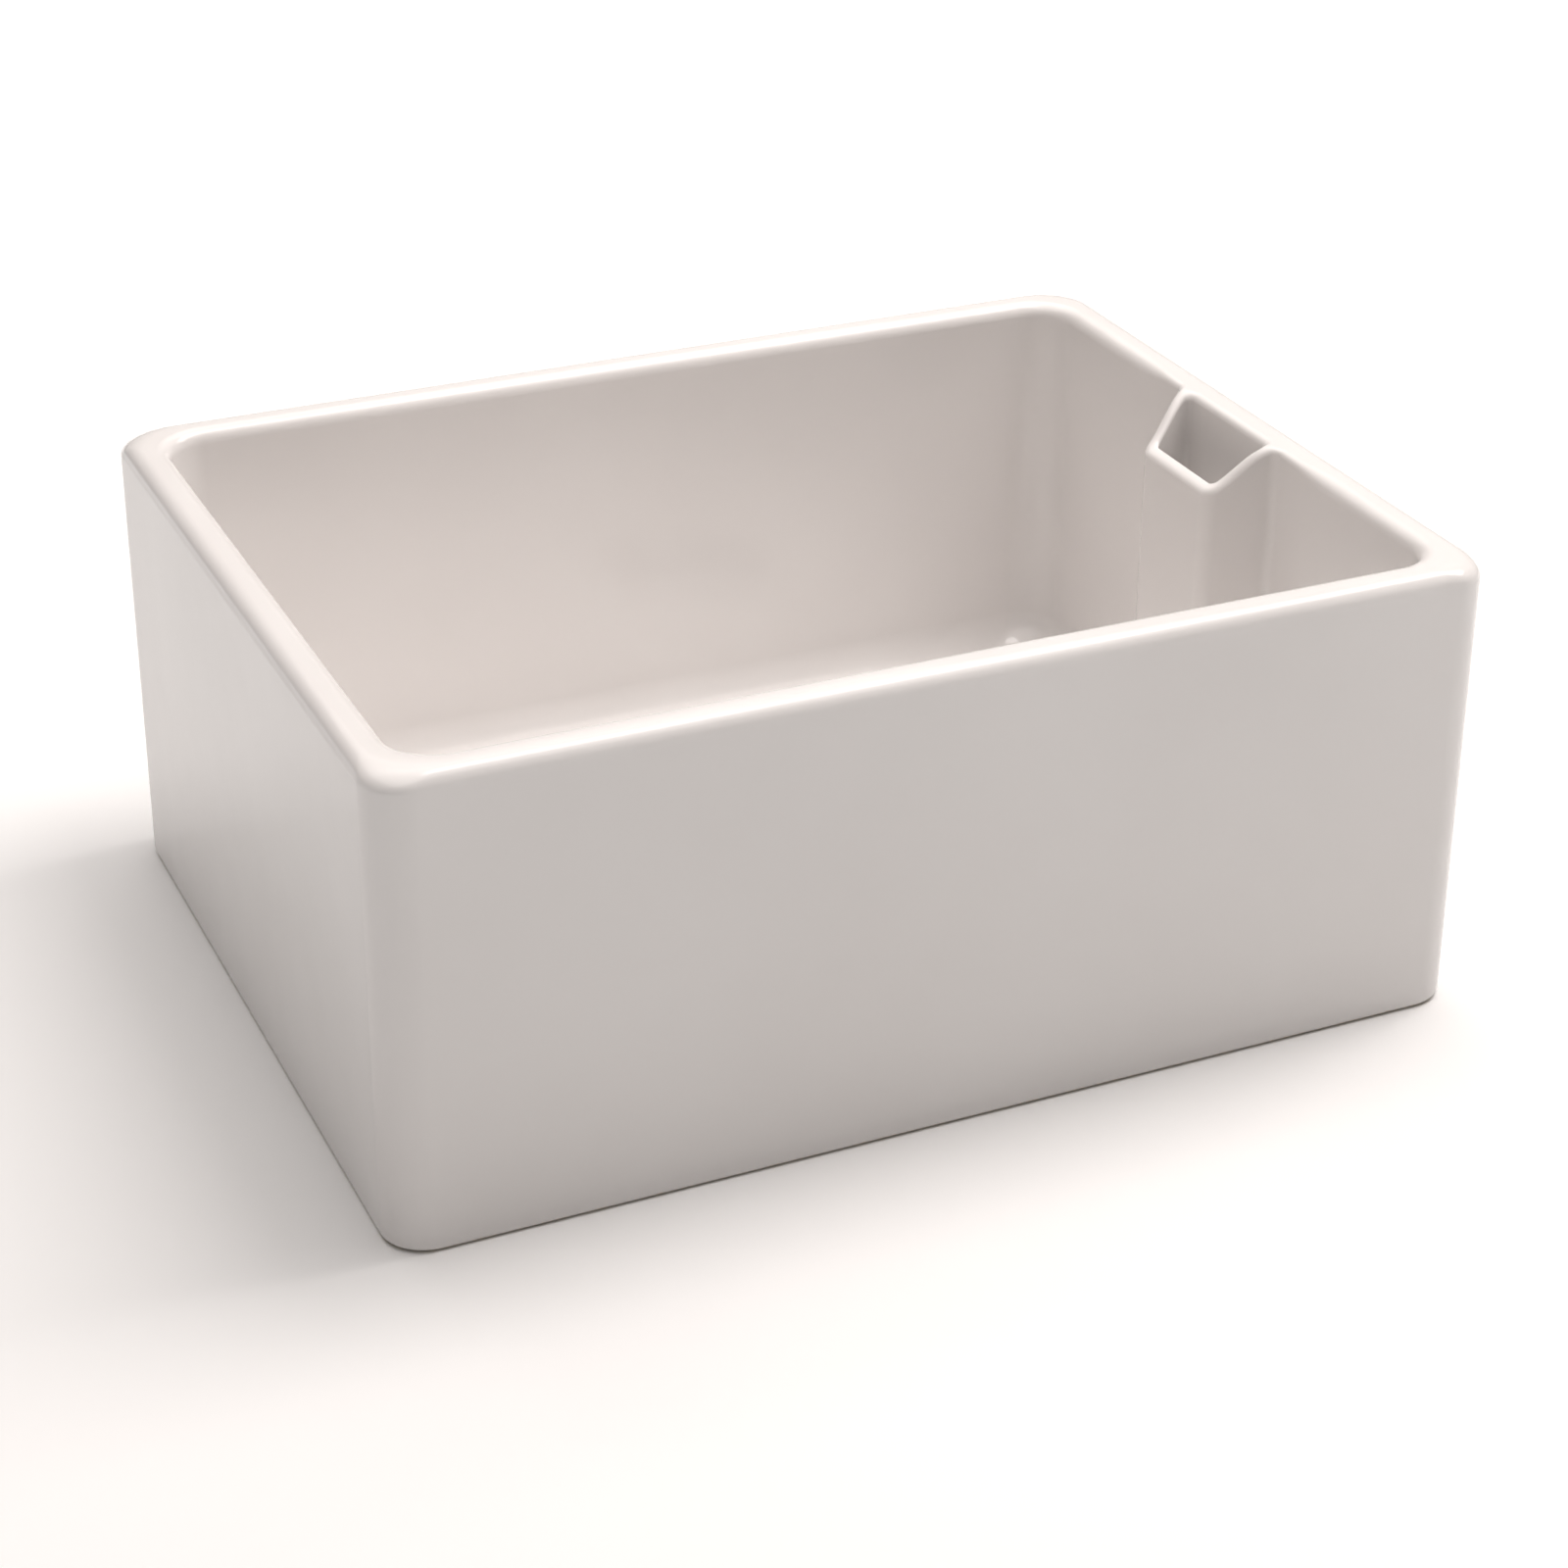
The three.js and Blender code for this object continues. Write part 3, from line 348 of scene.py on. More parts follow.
def dish_reach(way):
    """How far the falling floor goes from the outlet's axis, nearly to a rectangle's sides."""
    across = abs(way.x / ((dish_right - waste_x) if way.x > 0 else (waste_x - dish_left)))
    along = abs(way.y / dish_half)
    return (across ** dish_squareness + along ** dish_squareness) ** (-1 / dish_squareness)


def dish_ring(share):
    """A ring of the falling floor, from the outlet's edge at 0 to its outline at 1."""
    centre = Vector((waste_x, 0, outlet_height + floor_fall * (1 - (1 - share) ** 2)))
    return [centre + way * (dish_start + (dish_reach(way) - dish_start) * share) for way in ways]


def outlet_ring(radius, height):
    return [Vector((waste_x, 0, height)) + way * radius for way in ways]


ring = first_ring(bowl, dish_ring(1))
fill(bowl, floor_edge, ring)
for k in reversed(range(dish_steps)):
    ring = next_ring(bowl, ring, dish_ring((k / dish_steps) ** 1.3))
for sine, cosine in quarter(small_steps)[1:]:
    ring = next_ring(bowl, ring, outlet_ring(dish_start - outlet_edge * sine,
                                             outlet_height - outlet_edge * (1 - cosine)))
for radius, height in ((recess_radius, recess_height), (outlet_radius, recess_height),
                       (outlet_radius, duct_high)):
    ring = next_ring(bowl, ring, outlet_ring(radius, height))
above_duct = ring
below_duct = ring = next_ring(bowl, ring, outlet_ring(outlet_radius, duct_low))
for radius, height in ((outlet_radius, seat_depth), (seat_radius, seat_depth), (seat_radius, 0)):
    ring = next_ring(bowl, ring, outlet_ring(radius, height))
fill(bowl, underside, ring)

# The overflow's flat duct, from the bore to the side of the outlet.
mouth = [k for k, way in enumerate(ways)
         if way.x > 0 and abs(way.y) * outlet_radius < duct_half + 1e-6]
mouth.sort(key=lambda k: ways[k].y)
opening = [bowl.faces.get([above_duct[a], above_duct[b], below_duct[b], below_duct[a]])
           for a, b in zip(mouth, mouth[1:])]
bmesh.ops.delete(bowl, geom=opening, context="FACES_KEEP_BOUNDARY")
duct_end = bore_x + bore_radius
duct_floor = [below_duct[k] for k in mouth]
duct_half_here = duct_floor[-1].co.y
corner_steps = [(duct_end - duct_corner * (1 - s), duct_half_here - duct_corner * (1 - c))
                for s, c in quarter(duct_steps)]
far_end = [(x, -y) for x, y in corner_steps] + [(x, y) for x, y in reversed(corner_steps)]
roof = [above_duct[k] for k in mouth]
low_end = [bowl.verts.new((x, y, duct_low)) for x, y in reversed(far_end)]
high_end = [bowl.verts.new((x, y, duct_high)) for x, y in reversed(far_end)]
low_loop, high_loop = duct_floor + low_end, roof + high_end
end_chain = len(mouth) - 1
bmesh.ops.bridge_loops(bowl, edges=[
    bowl.edges.new(pair) for loop in (low_loop, high_loop)
    for pair in zip(loop[end_chain:], loop[end_chain + 1:] + loop[:1])])
fill(bowl, low_loop)
ring = next_ring(bowl, bore_mouth, circle(bore_radius, duct_high, bore_steps, bore_x))
fill(bowl, high_loop, ring)


def shader(name):
    """A new material, its node tree and its Principled shader."""
    material = bpy.data.materials.new(name)
    material.use_nodes = True
    tree = material.node_tree
    return material, tree, tree.nodes["Principled BSDF"]


def node(tree, kind, links=(), **values):
    """Adds a node, sets its values and joins (input, source socket) pairs."""
    made = tree.nodes.new(kind)
    for key, value in values.items():
        if key in made.inputs:
            made.inputs[key].default_value = value
        else:
            setattr(made, key, value)
    for target, source in links:
        tree.links.new(source, made.inputs[target])
    return made


def two_tone(tree, source, dark, light):
    """A colour that goes from dark to light as the source goes from 0.3 to 0.7."""
    made = tree.nodes.new("ShaderNodeValToRGB")
    tree.links.new(source, made.inputs["Fac"])
    for element, position, colour in zip(made.color_ramp.elements, (0.3, 0.7), (dark, light)):
        element.position = position
        element.color = (*colour, 1)
    return made.outputs["Color"]


def soft_mottle_group():
    """Slow and fine unevenness of a surface, as two values round 0.5."""
    group = bpy.data.node_groups.new("soft_mottle", "ShaderNodeTree")
    for label, kind, way in (("Vector", "NodeSocketVector", "INPUT"),
                             ("Slow Scale", "NodeSocketFloat", "INPUT"),
                             ("Fine Scale", "NodeSocketFloat", "INPUT"),
                             ("Slow", "NodeSocketFloat", "OUTPUT"),
                             ("Fine", "NodeSocketFloat", "OUTPUT")):
        group.interface.new_socket(name=label, in_out=way, socket_type=kind)
    given = group.nodes.new("NodeGroupInput").outputs
    taken = group.nodes.new("NodeGroupOutput").inputs
    for label, detail in (("Slow", 2.0), ("Fine", 3.0)):
        noise = node(group, "ShaderNodeTexNoise", Detail=detail, Roughness=0.5)
        group.links.new(given["Vector"], noise.inputs["Vector"])
        group.links.new(given[label + " Scale"], noise.inputs["Scale"])
        group.links.new(noise.outputs["Fac"], taken[label])
    return group


soft_mottle = soft_mottle_group()


def mottle(tree, vector, slow, fine):
    """The two values of the mottle group at the given scales."""
    made = tree.nodes.new("ShaderNodeGroup")
    made.node_tree = soft_mottle
    made.inputs["Slow Scale"].default_value = slow
    made.inputs["Fine Scale"].default_value = fine
    tree.links.new(vector, made.inputs["Vector"])
    return made.outputs["Slow"], made.outputs["Fine"]


def bumped(tree, shade, *layers):
    """Bump layers of (height socket, distance in metres), one over the other."""
    normal = None
    for height, distance in layers:
        made = node(tree, "ShaderNodeBump", [("Height", height)], Strength=1.0,
                    Distance=distance)
        if normal:
            tree.links.new(normal, made.inputs["Normal"])
        normal = made.outputs["Normal"]
    tree.links.new(normal, shade.inputs["Normal"])


glaze_dark, glaze_light = (0.825, 0.801, 0.788), (0.85, 0.828, 0.816)
clay_dark, clay_light = (0.50, 0.43, 0.34), (0.62, 0.55, 0.45)
clay_roughness, glaze_roughness, glaze_ior = 0.85, 0.11, 1.5
glaze_wander, glaze_line = -3 * MM, 0.4 * MM
glaze_waviness, glaze_grain = 1.1 * MM, 0.02 * MM
fireclay, tree, shade = shader("glazed_fireclay")
where = tree.nodes.new("ShaderNodeTexCoord").outputs["Object"]
slow, fine = mottle(tree, where, 7, 160)
height = node(tree, "ShaderNodeSeparateXYZ", [("Vector", where)]).outputs["Z"]
# The glaze ends in an uneven line at the foot. Below it the bare clay is buff and matt.
wander = node(tree, "ShaderNodeMath", [(0, fine)], operation="MULTIPLY_ADD")
wander.inputs[1].default_value = glaze_wander
tree.links.new(height, wander.inputs[2])
glazed = node(tree, "ShaderNodeMapRange", [("Value", wander.outputs[0])],
              **{"From Min": -glaze_line, "From Max": glaze_line},
              interpolation_type="SMOOTHSTEP")
clay_tone = two_tone(tree, fine, clay_dark, clay_light)
glaze_tone = two_tone(tree, slow, glaze_dark, glaze_light)
tone = node(tree, "ShaderNodeMix", data_type="RGBA")
tree.links.new(glazed.outputs[0], tone.inputs[0])
tree.links.new(clay_tone, tone.inputs[6])
tree.links.new(glaze_tone, tone.inputs[7])
tree.links.new(tone.outputs[2], shade.inputs["Base Color"])
gloss = node(tree, "ShaderNodeMapRange", [("Value", glazed.outputs[0])],
             **{"To Min": clay_roughness, "To Max": glaze_roughness})
tree.links.new(gloss.outputs[0], shade.inputs["Roughness"])
shade.inputs["IOR"].default_value = glaze_ior
bumped(tree, shade, (slow, glaze_waviness), (fine, glaze_grain))

sink = piece("fireclay_bowl", bowl, fireclay)
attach(sink, "sink")
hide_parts("sink_body")

# ---------------------------------------------------------------- the strainer cup
# The fixed half of a 90 mm basket waste, pressed from stainless sheet. Its flange lies in
# the outlet's recess, and its floor is drilled for the water round a deep middle well.
cup_low, cup_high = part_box("strainer_cup")
cup_rim, cup_sheet, cup_well = cup_high.z, 1.2 * MM, cup_low.z
cup_floor = cup_rim - 56.4 * MM
flange_radius, flange_lip = 56.5 * MM, 2.6 * MM
throat_radius, ledge_radius, ledge_drop = 42.2 * MM, 38 * MM, 13.5 * MM
cup_foot_radius, well_radius, screw_way_radius = 31 * MM, 10.5 * MM, 3.4 * MM
drain_count, drain_circle, drain_radius, drain_drill = 10, 19 * MM, 3 * MM, 6 * MM
upward = Vector((0, 0, 1))
large_turn, middle_turn, small_turn = 120, 96, 64


def spun(profile, steps, sweep=2 * math.pi, bends=5, whole=True):
    """Spins a profile of (radius, height, corner radius) about the waste's axis."""
    bm = bmesh.new()
    points = [Vector((waste_x + r, 0, z)) for r, z, *_ in profile]
    verts = [bm.verts.new(point) for point in points]
    if whole:
        bm.faces.new(verts)
    else:
        for a, b in zip(verts, verts[1:]):
            bm.edges.new((a, b))
    for i, corner in enumerate(profile):
        if len(corner) > 2:
            after = points[(i + 1) % len(points)] - points[i]
            bend = (points[i] - points[i - 1]).angle(after)
            bmesh.ops.bevel(bm, geom=[verts[i]], offset=corner[2] * math.tan(bend / 2),
                            offset_type="OFFSET", segments=bends, profile=0.5,
                            affect="VERTICES", material=-1)
    full = abs(sweep - 2 * math.pi) < 1e-6
    if full:
        bmesh.ops.delete(bm, geom=bm.faces[:], context="FACES_ONLY")
    bmesh.ops.spin(bm, geom=bm.verts[:] + bm.edges[:] + bm.faces[:], cent=(waste_x, 0, 0),
                   axis=(0, 0, 1), angle=sweep, steps=steps, use_merge=full)
    bmesh.ops.remove_doubles(bm, verts=bm.verts[:], dist=1e-7)
    bmesh.ops.delete(bm, geom=[e for e in bm.edges if not e.link_faces], context="EDGES")
    return bm


def pressed(path, sheet):
    """A spun sheet whose seen face follows the path, with its thickness behind it."""
    bm = spun(path, large_turn, whole=False)
    bmesh.ops.recalc_face_normals(bm, faces=bm.faces[:])
    if min(bm.faces, key=lambda f: -f.calc_center_median().z).normal.z < 0:
        bmesh.ops.reverse_faces(bm, faces=bm.faces[:])
    bmesh.ops.solidify(bm, geom=bm.faces[:], thickness=sheet)
    return bm


def drills(places, radius, depth):
    """Closed round bars that cut holes: each place is (point, direction)."""
    bm = bmesh.new()
    for point, way in places:
        turned = Vector(way).to_track_quat("Z", "Y").to_matrix().to_4x4()
        bmesh.ops.create_cone(bm, cap_ends=True, segments=24, radius1=radius, radius2=radius,
                              depth=depth, matrix=Matrix.Translation(point) @ turned)
    return bm


def carved(bm, tool, operation="DIFFERENCE"):
    """The mesh with another cut from it or joined to it."""
    pair = []
    for part in (bm, tool):
        bmesh.ops.recalc_face_normals(part, faces=part.faces[:])
        mesh = bpy.data.meshes.new("blank")
        part.to_mesh(mesh)
        part.free()
        pair.append(bpy.data.objects.new("blank", mesh))
        bpy.context.scene.collection.objects.link(pair[-1])
    cut = pair[0].modifiers.new("cut", "BOOLEAN")
    cut.object, cut.operation, cut.solver = pair[1], operation, "EXACT"
    done = bmesh.new()
    done.from_object(pair[0], bpy.context.evaluated_depsgraph_get())
    for blank in pair:
        mesh = blank.data
        bpy.data.objects.remove(blank)
        bpy.data.meshes.remove(mesh)
    return done


def around(count, radius, height):
    """Points set evenly round the waste's axis, each with its direction from the axis."""
    ways = [Vector((math.cos(a), math.sin(a), 0))
            for a in (2 * math.pi * k / count for k in range(count))]
    return [(Vector((waste_x, 0, height)) + way * radius, way) for way in ways]


def turned_marks_group():
    """Fine rings that a lathe or a polishing wheel leaves round an upright axis."""
    group = bpy.data.node_groups.new("turned_marks", "ShaderNodeTree")
    for label, kind, way in (("Vector", "NodeSocketVector", "INPUT"),
                             ("Density", "NodeSocketFloat", "INPUT"),
                             ("Marks", "NodeSocketFloat", "OUTPUT")):
        group.interface.new_socket(name=label, in_out=way, socket_type=kind)
    given = group.nodes.new("NodeGroupInput").outputs
    taken = group.nodes.new("NodeGroupOutput").inputs
    parts = node(group, "ShaderNodeSeparateXYZ", [("Vector", given["Vector"])]).outputs
    flat = node(group, "ShaderNodeCombineXYZ", [("X", parts["X"]), ("Y", parts["Y"])])
    radius = node(group, "ShaderNodeVectorMath", [(0, flat.outputs[0])], operation="LENGTH")
    coiled = node(group, "ShaderNodeCombineXYZ", [("X", radius.outputs["Value"]),
                                                  ("Z", parts["Z"])])
    noise = node(group, "ShaderNodeTexNoise", [("Vector", coiled.outputs[0]),
                                               ("Scale", given["Density"])],
                 Detail=3.0, Roughness=0.6)
    group.links.new(noise.outputs["Fac"], taken["Marks"])
    return group


turned_marks = turned_marks_group()


def metal(name, dark, light, rough):
    """A turned or polished metal round the waste's axis, with faint water marks."""
    mark_density, mark_depth, stain_scale, grain_scale = 900, 0.012 * MM, 24, 400
    material, tree, shade = shader(name)
    where = tree.nodes.new("ShaderNodeTexCoord").outputs["Object"]
    centred = node(tree, "ShaderNodeMapping", [("Vector", where)], Location=(-waste_x, 0, 0))
    marks = tree.nodes.new("ShaderNodeGroup")
    marks.node_tree = turned_marks
    marks.inputs["Density"].default_value = mark_density
    tree.links.new(centred.outputs[0], marks.inputs["Vector"])
    slow = mottle(tree, where, stain_scale, grain_scale)[0]
    tree.links.new(two_tone(tree, slow, dark, light), shade.inputs["Base Color"])
    rougher = node(tree, "ShaderNodeMath", [(0, slow), (1, marks.outputs["Marks"])],
                   operation="MULTIPLY")
    spread = node(tree, "ShaderNodeMapRange", [("Value", rougher.outputs[0])],
                  **{"From Min": 0.1, "From Max": 0.4, "To Min": rough * 0.75,
                     "To Max": rough * 1.35})
    tree.links.new(spread.outputs[0], shade.inputs["Roughness"])
    shade.inputs["Metallic"].default_value = 1.0
    bumped(tree, shade, (marks.outputs["Marks"], mark_depth))
    return material


stainless = metal("polished_stainless", (0.56, 0.56, 0.57), (0.64, 0.64, 0.645), 0.2)
cup = pressed([
    (flange_radius, cup_rim - flange_lip), (flange_radius, cup_rim, 1.5 * MM),
    (throat_radius, cup_rim, 4.5 * MM), (throat_radius, cup_rim - ledge_drop, 1.2 * MM),
    (ledge_radius, cup_rim - ledge_drop, 1.2 * MM), (cup_foot_radius, cup_floor, 6 * MM),
    (well_radius, cup_floor, 1.2 * MM), (well_radius, cup_well + cup_sheet, 1.8 * MM),
    (screw_way_radius, cup_well + cup_sheet)], cup_sheet)
drains = [(point, upward) for point, _ in around(drain_count, drain_circle, cup_floor)]
cup = carved(cup, drills(drains, drain_radius, drain_drill))
strainer = piece("strainer_cup_pressing", cup, stainless)
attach(strainer, "sink")
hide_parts("strainer_cup")

# ---------------------------------------------------------------- the seals of the outlet
# A soft foam ring under the flange, and a thick moulded rubber ring under the fireclay.
# The clamp screw squeezes both against the bowl.
seal_inner_radius = 47.5 * MM


def moulded(name, dark, light, rough, grain, depth):
    """Rubber or plastic from a mould: a fine skin grain and slow changes of tone."""
    material, tree, shade = shader(name)
    where = tree.nodes.new("ShaderNodeTexCoord").outputs["Object"]
    slow, fine = mottle(tree, where, 30, grain)
    tree.links.new(two_tone(tree, slow, dark, light), shade.inputs["Base Color"])
    spread = node(tree, "ShaderNodeMapRange", [("Value", fine)],
                  **{"From Min": 0.3, "From Max": 0.7, "To Min": rough * 0.9,
                     "To Max": rough * 1.1})
    tree.links.new(spread.outputs[0], shade.inputs["Roughness"])
    bumped(tree, shade, (slow, depth * 4), (fine, depth))
    return material


foam = moulded("sealing_foam", (0.14, 0.145, 0.145), (0.2, 0.205, 0.205), 0.9, 1100, 0.2 * MM)
rubber = moulded("black_rubber", (0.012, 0.012, 0.013), (0.022, 0.022, 0.023), 0.62, 900,
                 0.04 * MM)


def ring_section(node_name, inner, round_off):
    """A ring's profile between the CAD ring's outside, its ends and an inner radius."""
    low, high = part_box(node_name)
    outer = high.x - waste_x
    return [(inner, low.z, round_off), (outer, low.z, round_off),
            (outer, high.z, round_off), (inner, high.z, round_off)]


flange_ring = piece(
    "flange_seal_ring",
    spun(ring_section("flange_seal", seal_inner_radius, 0.6 * MM), middle_turn), foam)
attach(flange_ring, "sink")
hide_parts("flange_seal")

gasket_ring = piece(
    "underside_gasket_ring",
    spun(ring_section("underside_gasket", seal_inner_radius, 0.9 * MM), large_turn), rubber)
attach(gasket_ring, "sink")
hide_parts("underside_gasket")

# ---------------------------------------------------------------- the waste body
# The housing under the bowl, injection moulded in white plastic: a flange, a drum that
# funnels to a 1 1/2 in. threaded tail, and a hub on four ribs that takes the clamp screw.
body_low, body_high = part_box("waste_body")
body_top, tail_end = body_high.z, body_low.z
hub_bottom = tail_end + 22 * MM
tail_bore, tail_root, tail_collar = 19.5 * MM, 22.8 * MM, 23.9 * MM
drum_bore, drum_radius, body_flange_radius = 47.2 * MM, 49.8 * MM, 56 * MM
body_flange_foot = body_top - 4 * MM
hub_radius, hub_height, hub_steps = 8.6 * MM, 15 * MM, 48
insert_seat_radius, insert_seat_foot = 7 * MM, 12.4 * MM
insert_bore, hub_floor = 5.8 * MM, 1.4 * MM
rib_count, rib_half, rib_profile = 4, 1.2 * MM, [(7.4, 0.2), (20.2, 0.2), (35.2, 11), (7.4, 11)]
tail_pitch, tail_ridge = 2.31 * MM, 1.1 * MM
thread_steps = 40


def thread(radius, start, end, pitch, height):
    """A thread's ridge: a four-cornered section wound up round the waste's axis."""
    turns = (end - start) / pitch
    steps = round(turns * thread_steps)
    bm = bmesh.new()
    sunk_root, crest = waste_x + radius - height * 0.4, waste_x + radius + height
    corners = ((sunk_root, -0.42), (crest, -0.06), (crest, 0.06), (sunk_root, 0.42))
    section = [bm.verts.new((x, 0, start + pitch * share)) for x, share in corners]
    bmesh.ops.spin(bm, geom=[bm.faces.new(section)], cent=(waste_x, 0, 0), axis=(0, 0, 1),
                   dvec=(0, 0, (end - start) / steps), angle=2 * math.pi * turns, steps=steps)
    return bm


def added(bm, *others):
    """Other closed shells put into the same mesh."""
    for other in others:
        mesh = bpy.data.meshes.new("blank")
        other.to_mesh(mesh)
        other.free()
        bm.from_mesh(mesh)
        bpy.data.meshes.remove(mesh)
    return bm


drum = spun([
    (drum_bore, body_top), (drum_bore, hub_bottom + 20 * MM, 5 * MM),
    (tail_bore, hub_bottom, 6 * MM), (tail_bore, tail_end, 0.5 * MM),
    (22 * MM, tail_end, 0.5 * MM), (tail_root, tail_end + 1.6 * MM),
    (tail_root, hub_bottom - 5.5 * MM), (tail_collar, hub_bottom - 4.6 * MM),
    (tail_collar, hub_bottom - 2.6 * MM, 4 * MM), (drum_radius, hub_bottom + 17.4 * MM, 5 * MM),
    (drum_radius, body_flange_foot, 1.5 * MM), (body_flange_radius, body_flange_foot, 0.8 * MM),
    (body_flange_radius, body_top, 0.6 * MM)], large_turn)
hub = spun([
    (screw_way_radius, hub_bottom, 0.3 * MM), (hub_radius, hub_bottom, 0.6 * MM),
    (hub_radius, hub_bottom + hub_height, 0.6 * MM),
    (insert_seat_radius, hub_bottom + hub_height),
    (insert_seat_radius, hub_bottom + insert_seat_foot),
    (insert_bore, hub_bottom + insert_seat_foot), (insert_bore, hub_bottom + hub_floor),
    (screw_way_radius, hub_bottom + hub_floor)], hub_steps)
housing = carved(drum, hub, "UNION")
for k in range(rib_count):
    rib = bmesh.new()
    side = rib.faces.new([rib.verts.new((r * MM, -rib_half, hub_bottom + z * MM))
                          for r, z in rib_profile])
    extruded = bmesh.ops.extrude_face_region(rib, geom=[side])["geom"]
    bmesh.ops.translate(rib, vec=(0, 2 * rib_half, 0),
                        verts=[v for v in extruded if isinstance(v, bmesh.types.BMVert)])
    bmesh.ops.rotate(rib, cent=(0, 0, 0), verts=rib.verts[:],
                     matrix=Matrix.Rotation(2 * math.pi * k / rib_count, 3, "Z"))
    bmesh.ops.translate(rib, vec=(waste_x, 0, 0), verts=rib.verts[:])
    housing = carved(housing, rib, "UNION")
tail_thread = thread(tail_root, tail_end + 3.2 * MM, hub_bottom - 6.6 * MM, tail_pitch,
                     tail_ridge)
white_plastic = moulded("white_moulded_plastic", (0.76, 0.76, 0.745), (0.8, 0.8, 0.79), 0.42,
                        700, 0.02 * MM)
waste_housing = piece("waste_housing", added(housing, tail_thread), white_plastic)
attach(waste_housing, "sink")
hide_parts("waste_body")

# ---------------------------------------------------------------- the clamp screw
# A slotted stainless screw in the cup's well, on a nylon washer, pulls the housing up by
# the brass insert moulded into its hub.
screw_low, screw_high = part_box("clamp_screw")
head_top, screw_end = screw_high.z, screw_low.z
head_bottom = head_top - 3.6 * MM
head_radius, neck_radius, thread_root = 6 * MM, 3 * MM, 2.7 * MM
slot_length, slot_width, slot_height = 18 * MM, 1.6 * MM, 3.6 * MM
screw_pitch, screw_ridge = 0.9 * MM, 0.28 * MM
screw = spun([
    (0, screw_end), (2.2 * MM, screw_end), (thread_root, screw_end + 0.8 * MM),
    (thread_root, head_bottom - 3 * MM), (neck_radius, head_bottom - 2.6 * MM),
    (neck_radius, head_bottom), (head_radius, head_bottom, 0.3 * MM),
    (head_radius, head_top - 0.9 * MM, 0.5 * MM), (5.1 * MM, head_top, 0.5 * MM),
    (0, head_top)], small_turn)
slot_bar = bmesh.new()
bmesh.ops.create_cube(slot_bar, size=1, matrix=Matrix.Translation((waste_x, 0, head_top))
                      @ Matrix.Diagonal((slot_length, slot_width, slot_height, 1)))
screw = added(carved(screw, slot_bar),
              thread(thread_root, screw_end + 1 * MM, head_bottom - 3.4 * MM, screw_pitch,
                     screw_ridge))
clamping = piece("clamp_screw_turning", screw, stainless)
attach(clamping, "sink")
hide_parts("clamp_screw")

nylon = moulded("natural_nylon", (0.66, 0.63, 0.55), (0.71, 0.68, 0.6), 0.45, 600, 0.015 * MM)
screw_disc = piece(
    "screw_washer_ring",
    spun(ring_section("screw_washer", screw_way_radius, 0.25 * MM), small_turn, bends=3), nylon)
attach(screw_disc, "sink")
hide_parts("screw_washer")

brass = metal("turned_brass", (0.66, 0.47, 0.2), (0.74, 0.55, 0.26), 0.3)
insert_low, insert_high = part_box("threaded_insert")
insert_shoulder = insert_high.z - 2 * MM
tapped_radius, insert_radius, waist_radius, collar_radius = 3.3 * MM, 5.5 * MM, 5 * MM, 6.7 * MM
insert = spun([
    (tapped_radius, insert_low.z, 0.3 * MM), (insert_radius, insert_low.z, 0.5 * MM),
    (insert_radius, insert_shoulder - 5.4 * MM, 0.15 * MM),
    (waist_radius, insert_shoulder - 5.1 * MM), (waist_radius, insert_shoulder - 3.9 * MM),
    (insert_radius, insert_shoulder - 3.6 * MM, 0.15 * MM), (insert_radius, insert_shoulder),
    (collar_radius, insert_shoulder, 0.3 * MM), (collar_radius, insert_high.z, 0.3 * MM),
    (tapped_radius, insert_high.z, 0.3 * MM)], small_turn, bends=3)
brass_insert = piece("threaded_insert_turning", insert, brass)
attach(brass_insert, "sink")
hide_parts("threaded_insert")

# ---------------------------------------------------------------- the lift-out basket
# Pressed from thinner stainless sheet and pierced all over, with a rolled edge that hangs
# on the cup's ledge. A nylon bush, held by a snap ring, guides the plug's post.
basket_rim, basket_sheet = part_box("basket_cup")[1].z, 0.8 * MM
basket_floor = basket_rim - 26 * MM
roll_radius, roll_depth, mouth_radius = 41.5 * MM, 3.4 * MM, 36.6 * MM
basket_foot_radius, bush_hole = 31.26 * MM, 6.1 * MM
hole_radius, floor_rows = 2.1 * MM, ((8, 15.01 * MM), (12, 23.25 * MM))
side_count, side_circle, side_height = 14, 33 * MM, 8.5 * MM
basket = pressed([
    (roll_radius, basket_rim - roll_depth), (roll_radius, basket_rim, 1.7 * MM),
    (mouth_radius, basket_rim, 2 * MM), (basket_foot_radius, basket_floor, 4 * MM),
    (bush_hole, basket_floor)], basket_sheet)
floor_holes = [(point, upward) for count, radius in floor_rows
               for point, _ in around(count, radius, basket_floor)]
basket = carved(basket, drills(floor_holes, hole_radius, 4 * MM))
side_holes = around(side_count, side_circle, basket_floor + side_height)
basket = carved(basket, drills(side_holes, hole_radius, 8 * MM))
basket_shell = piece("basket_pressing", basket, stainless)
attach(basket_shell, "basket")
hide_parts("basket_cup")

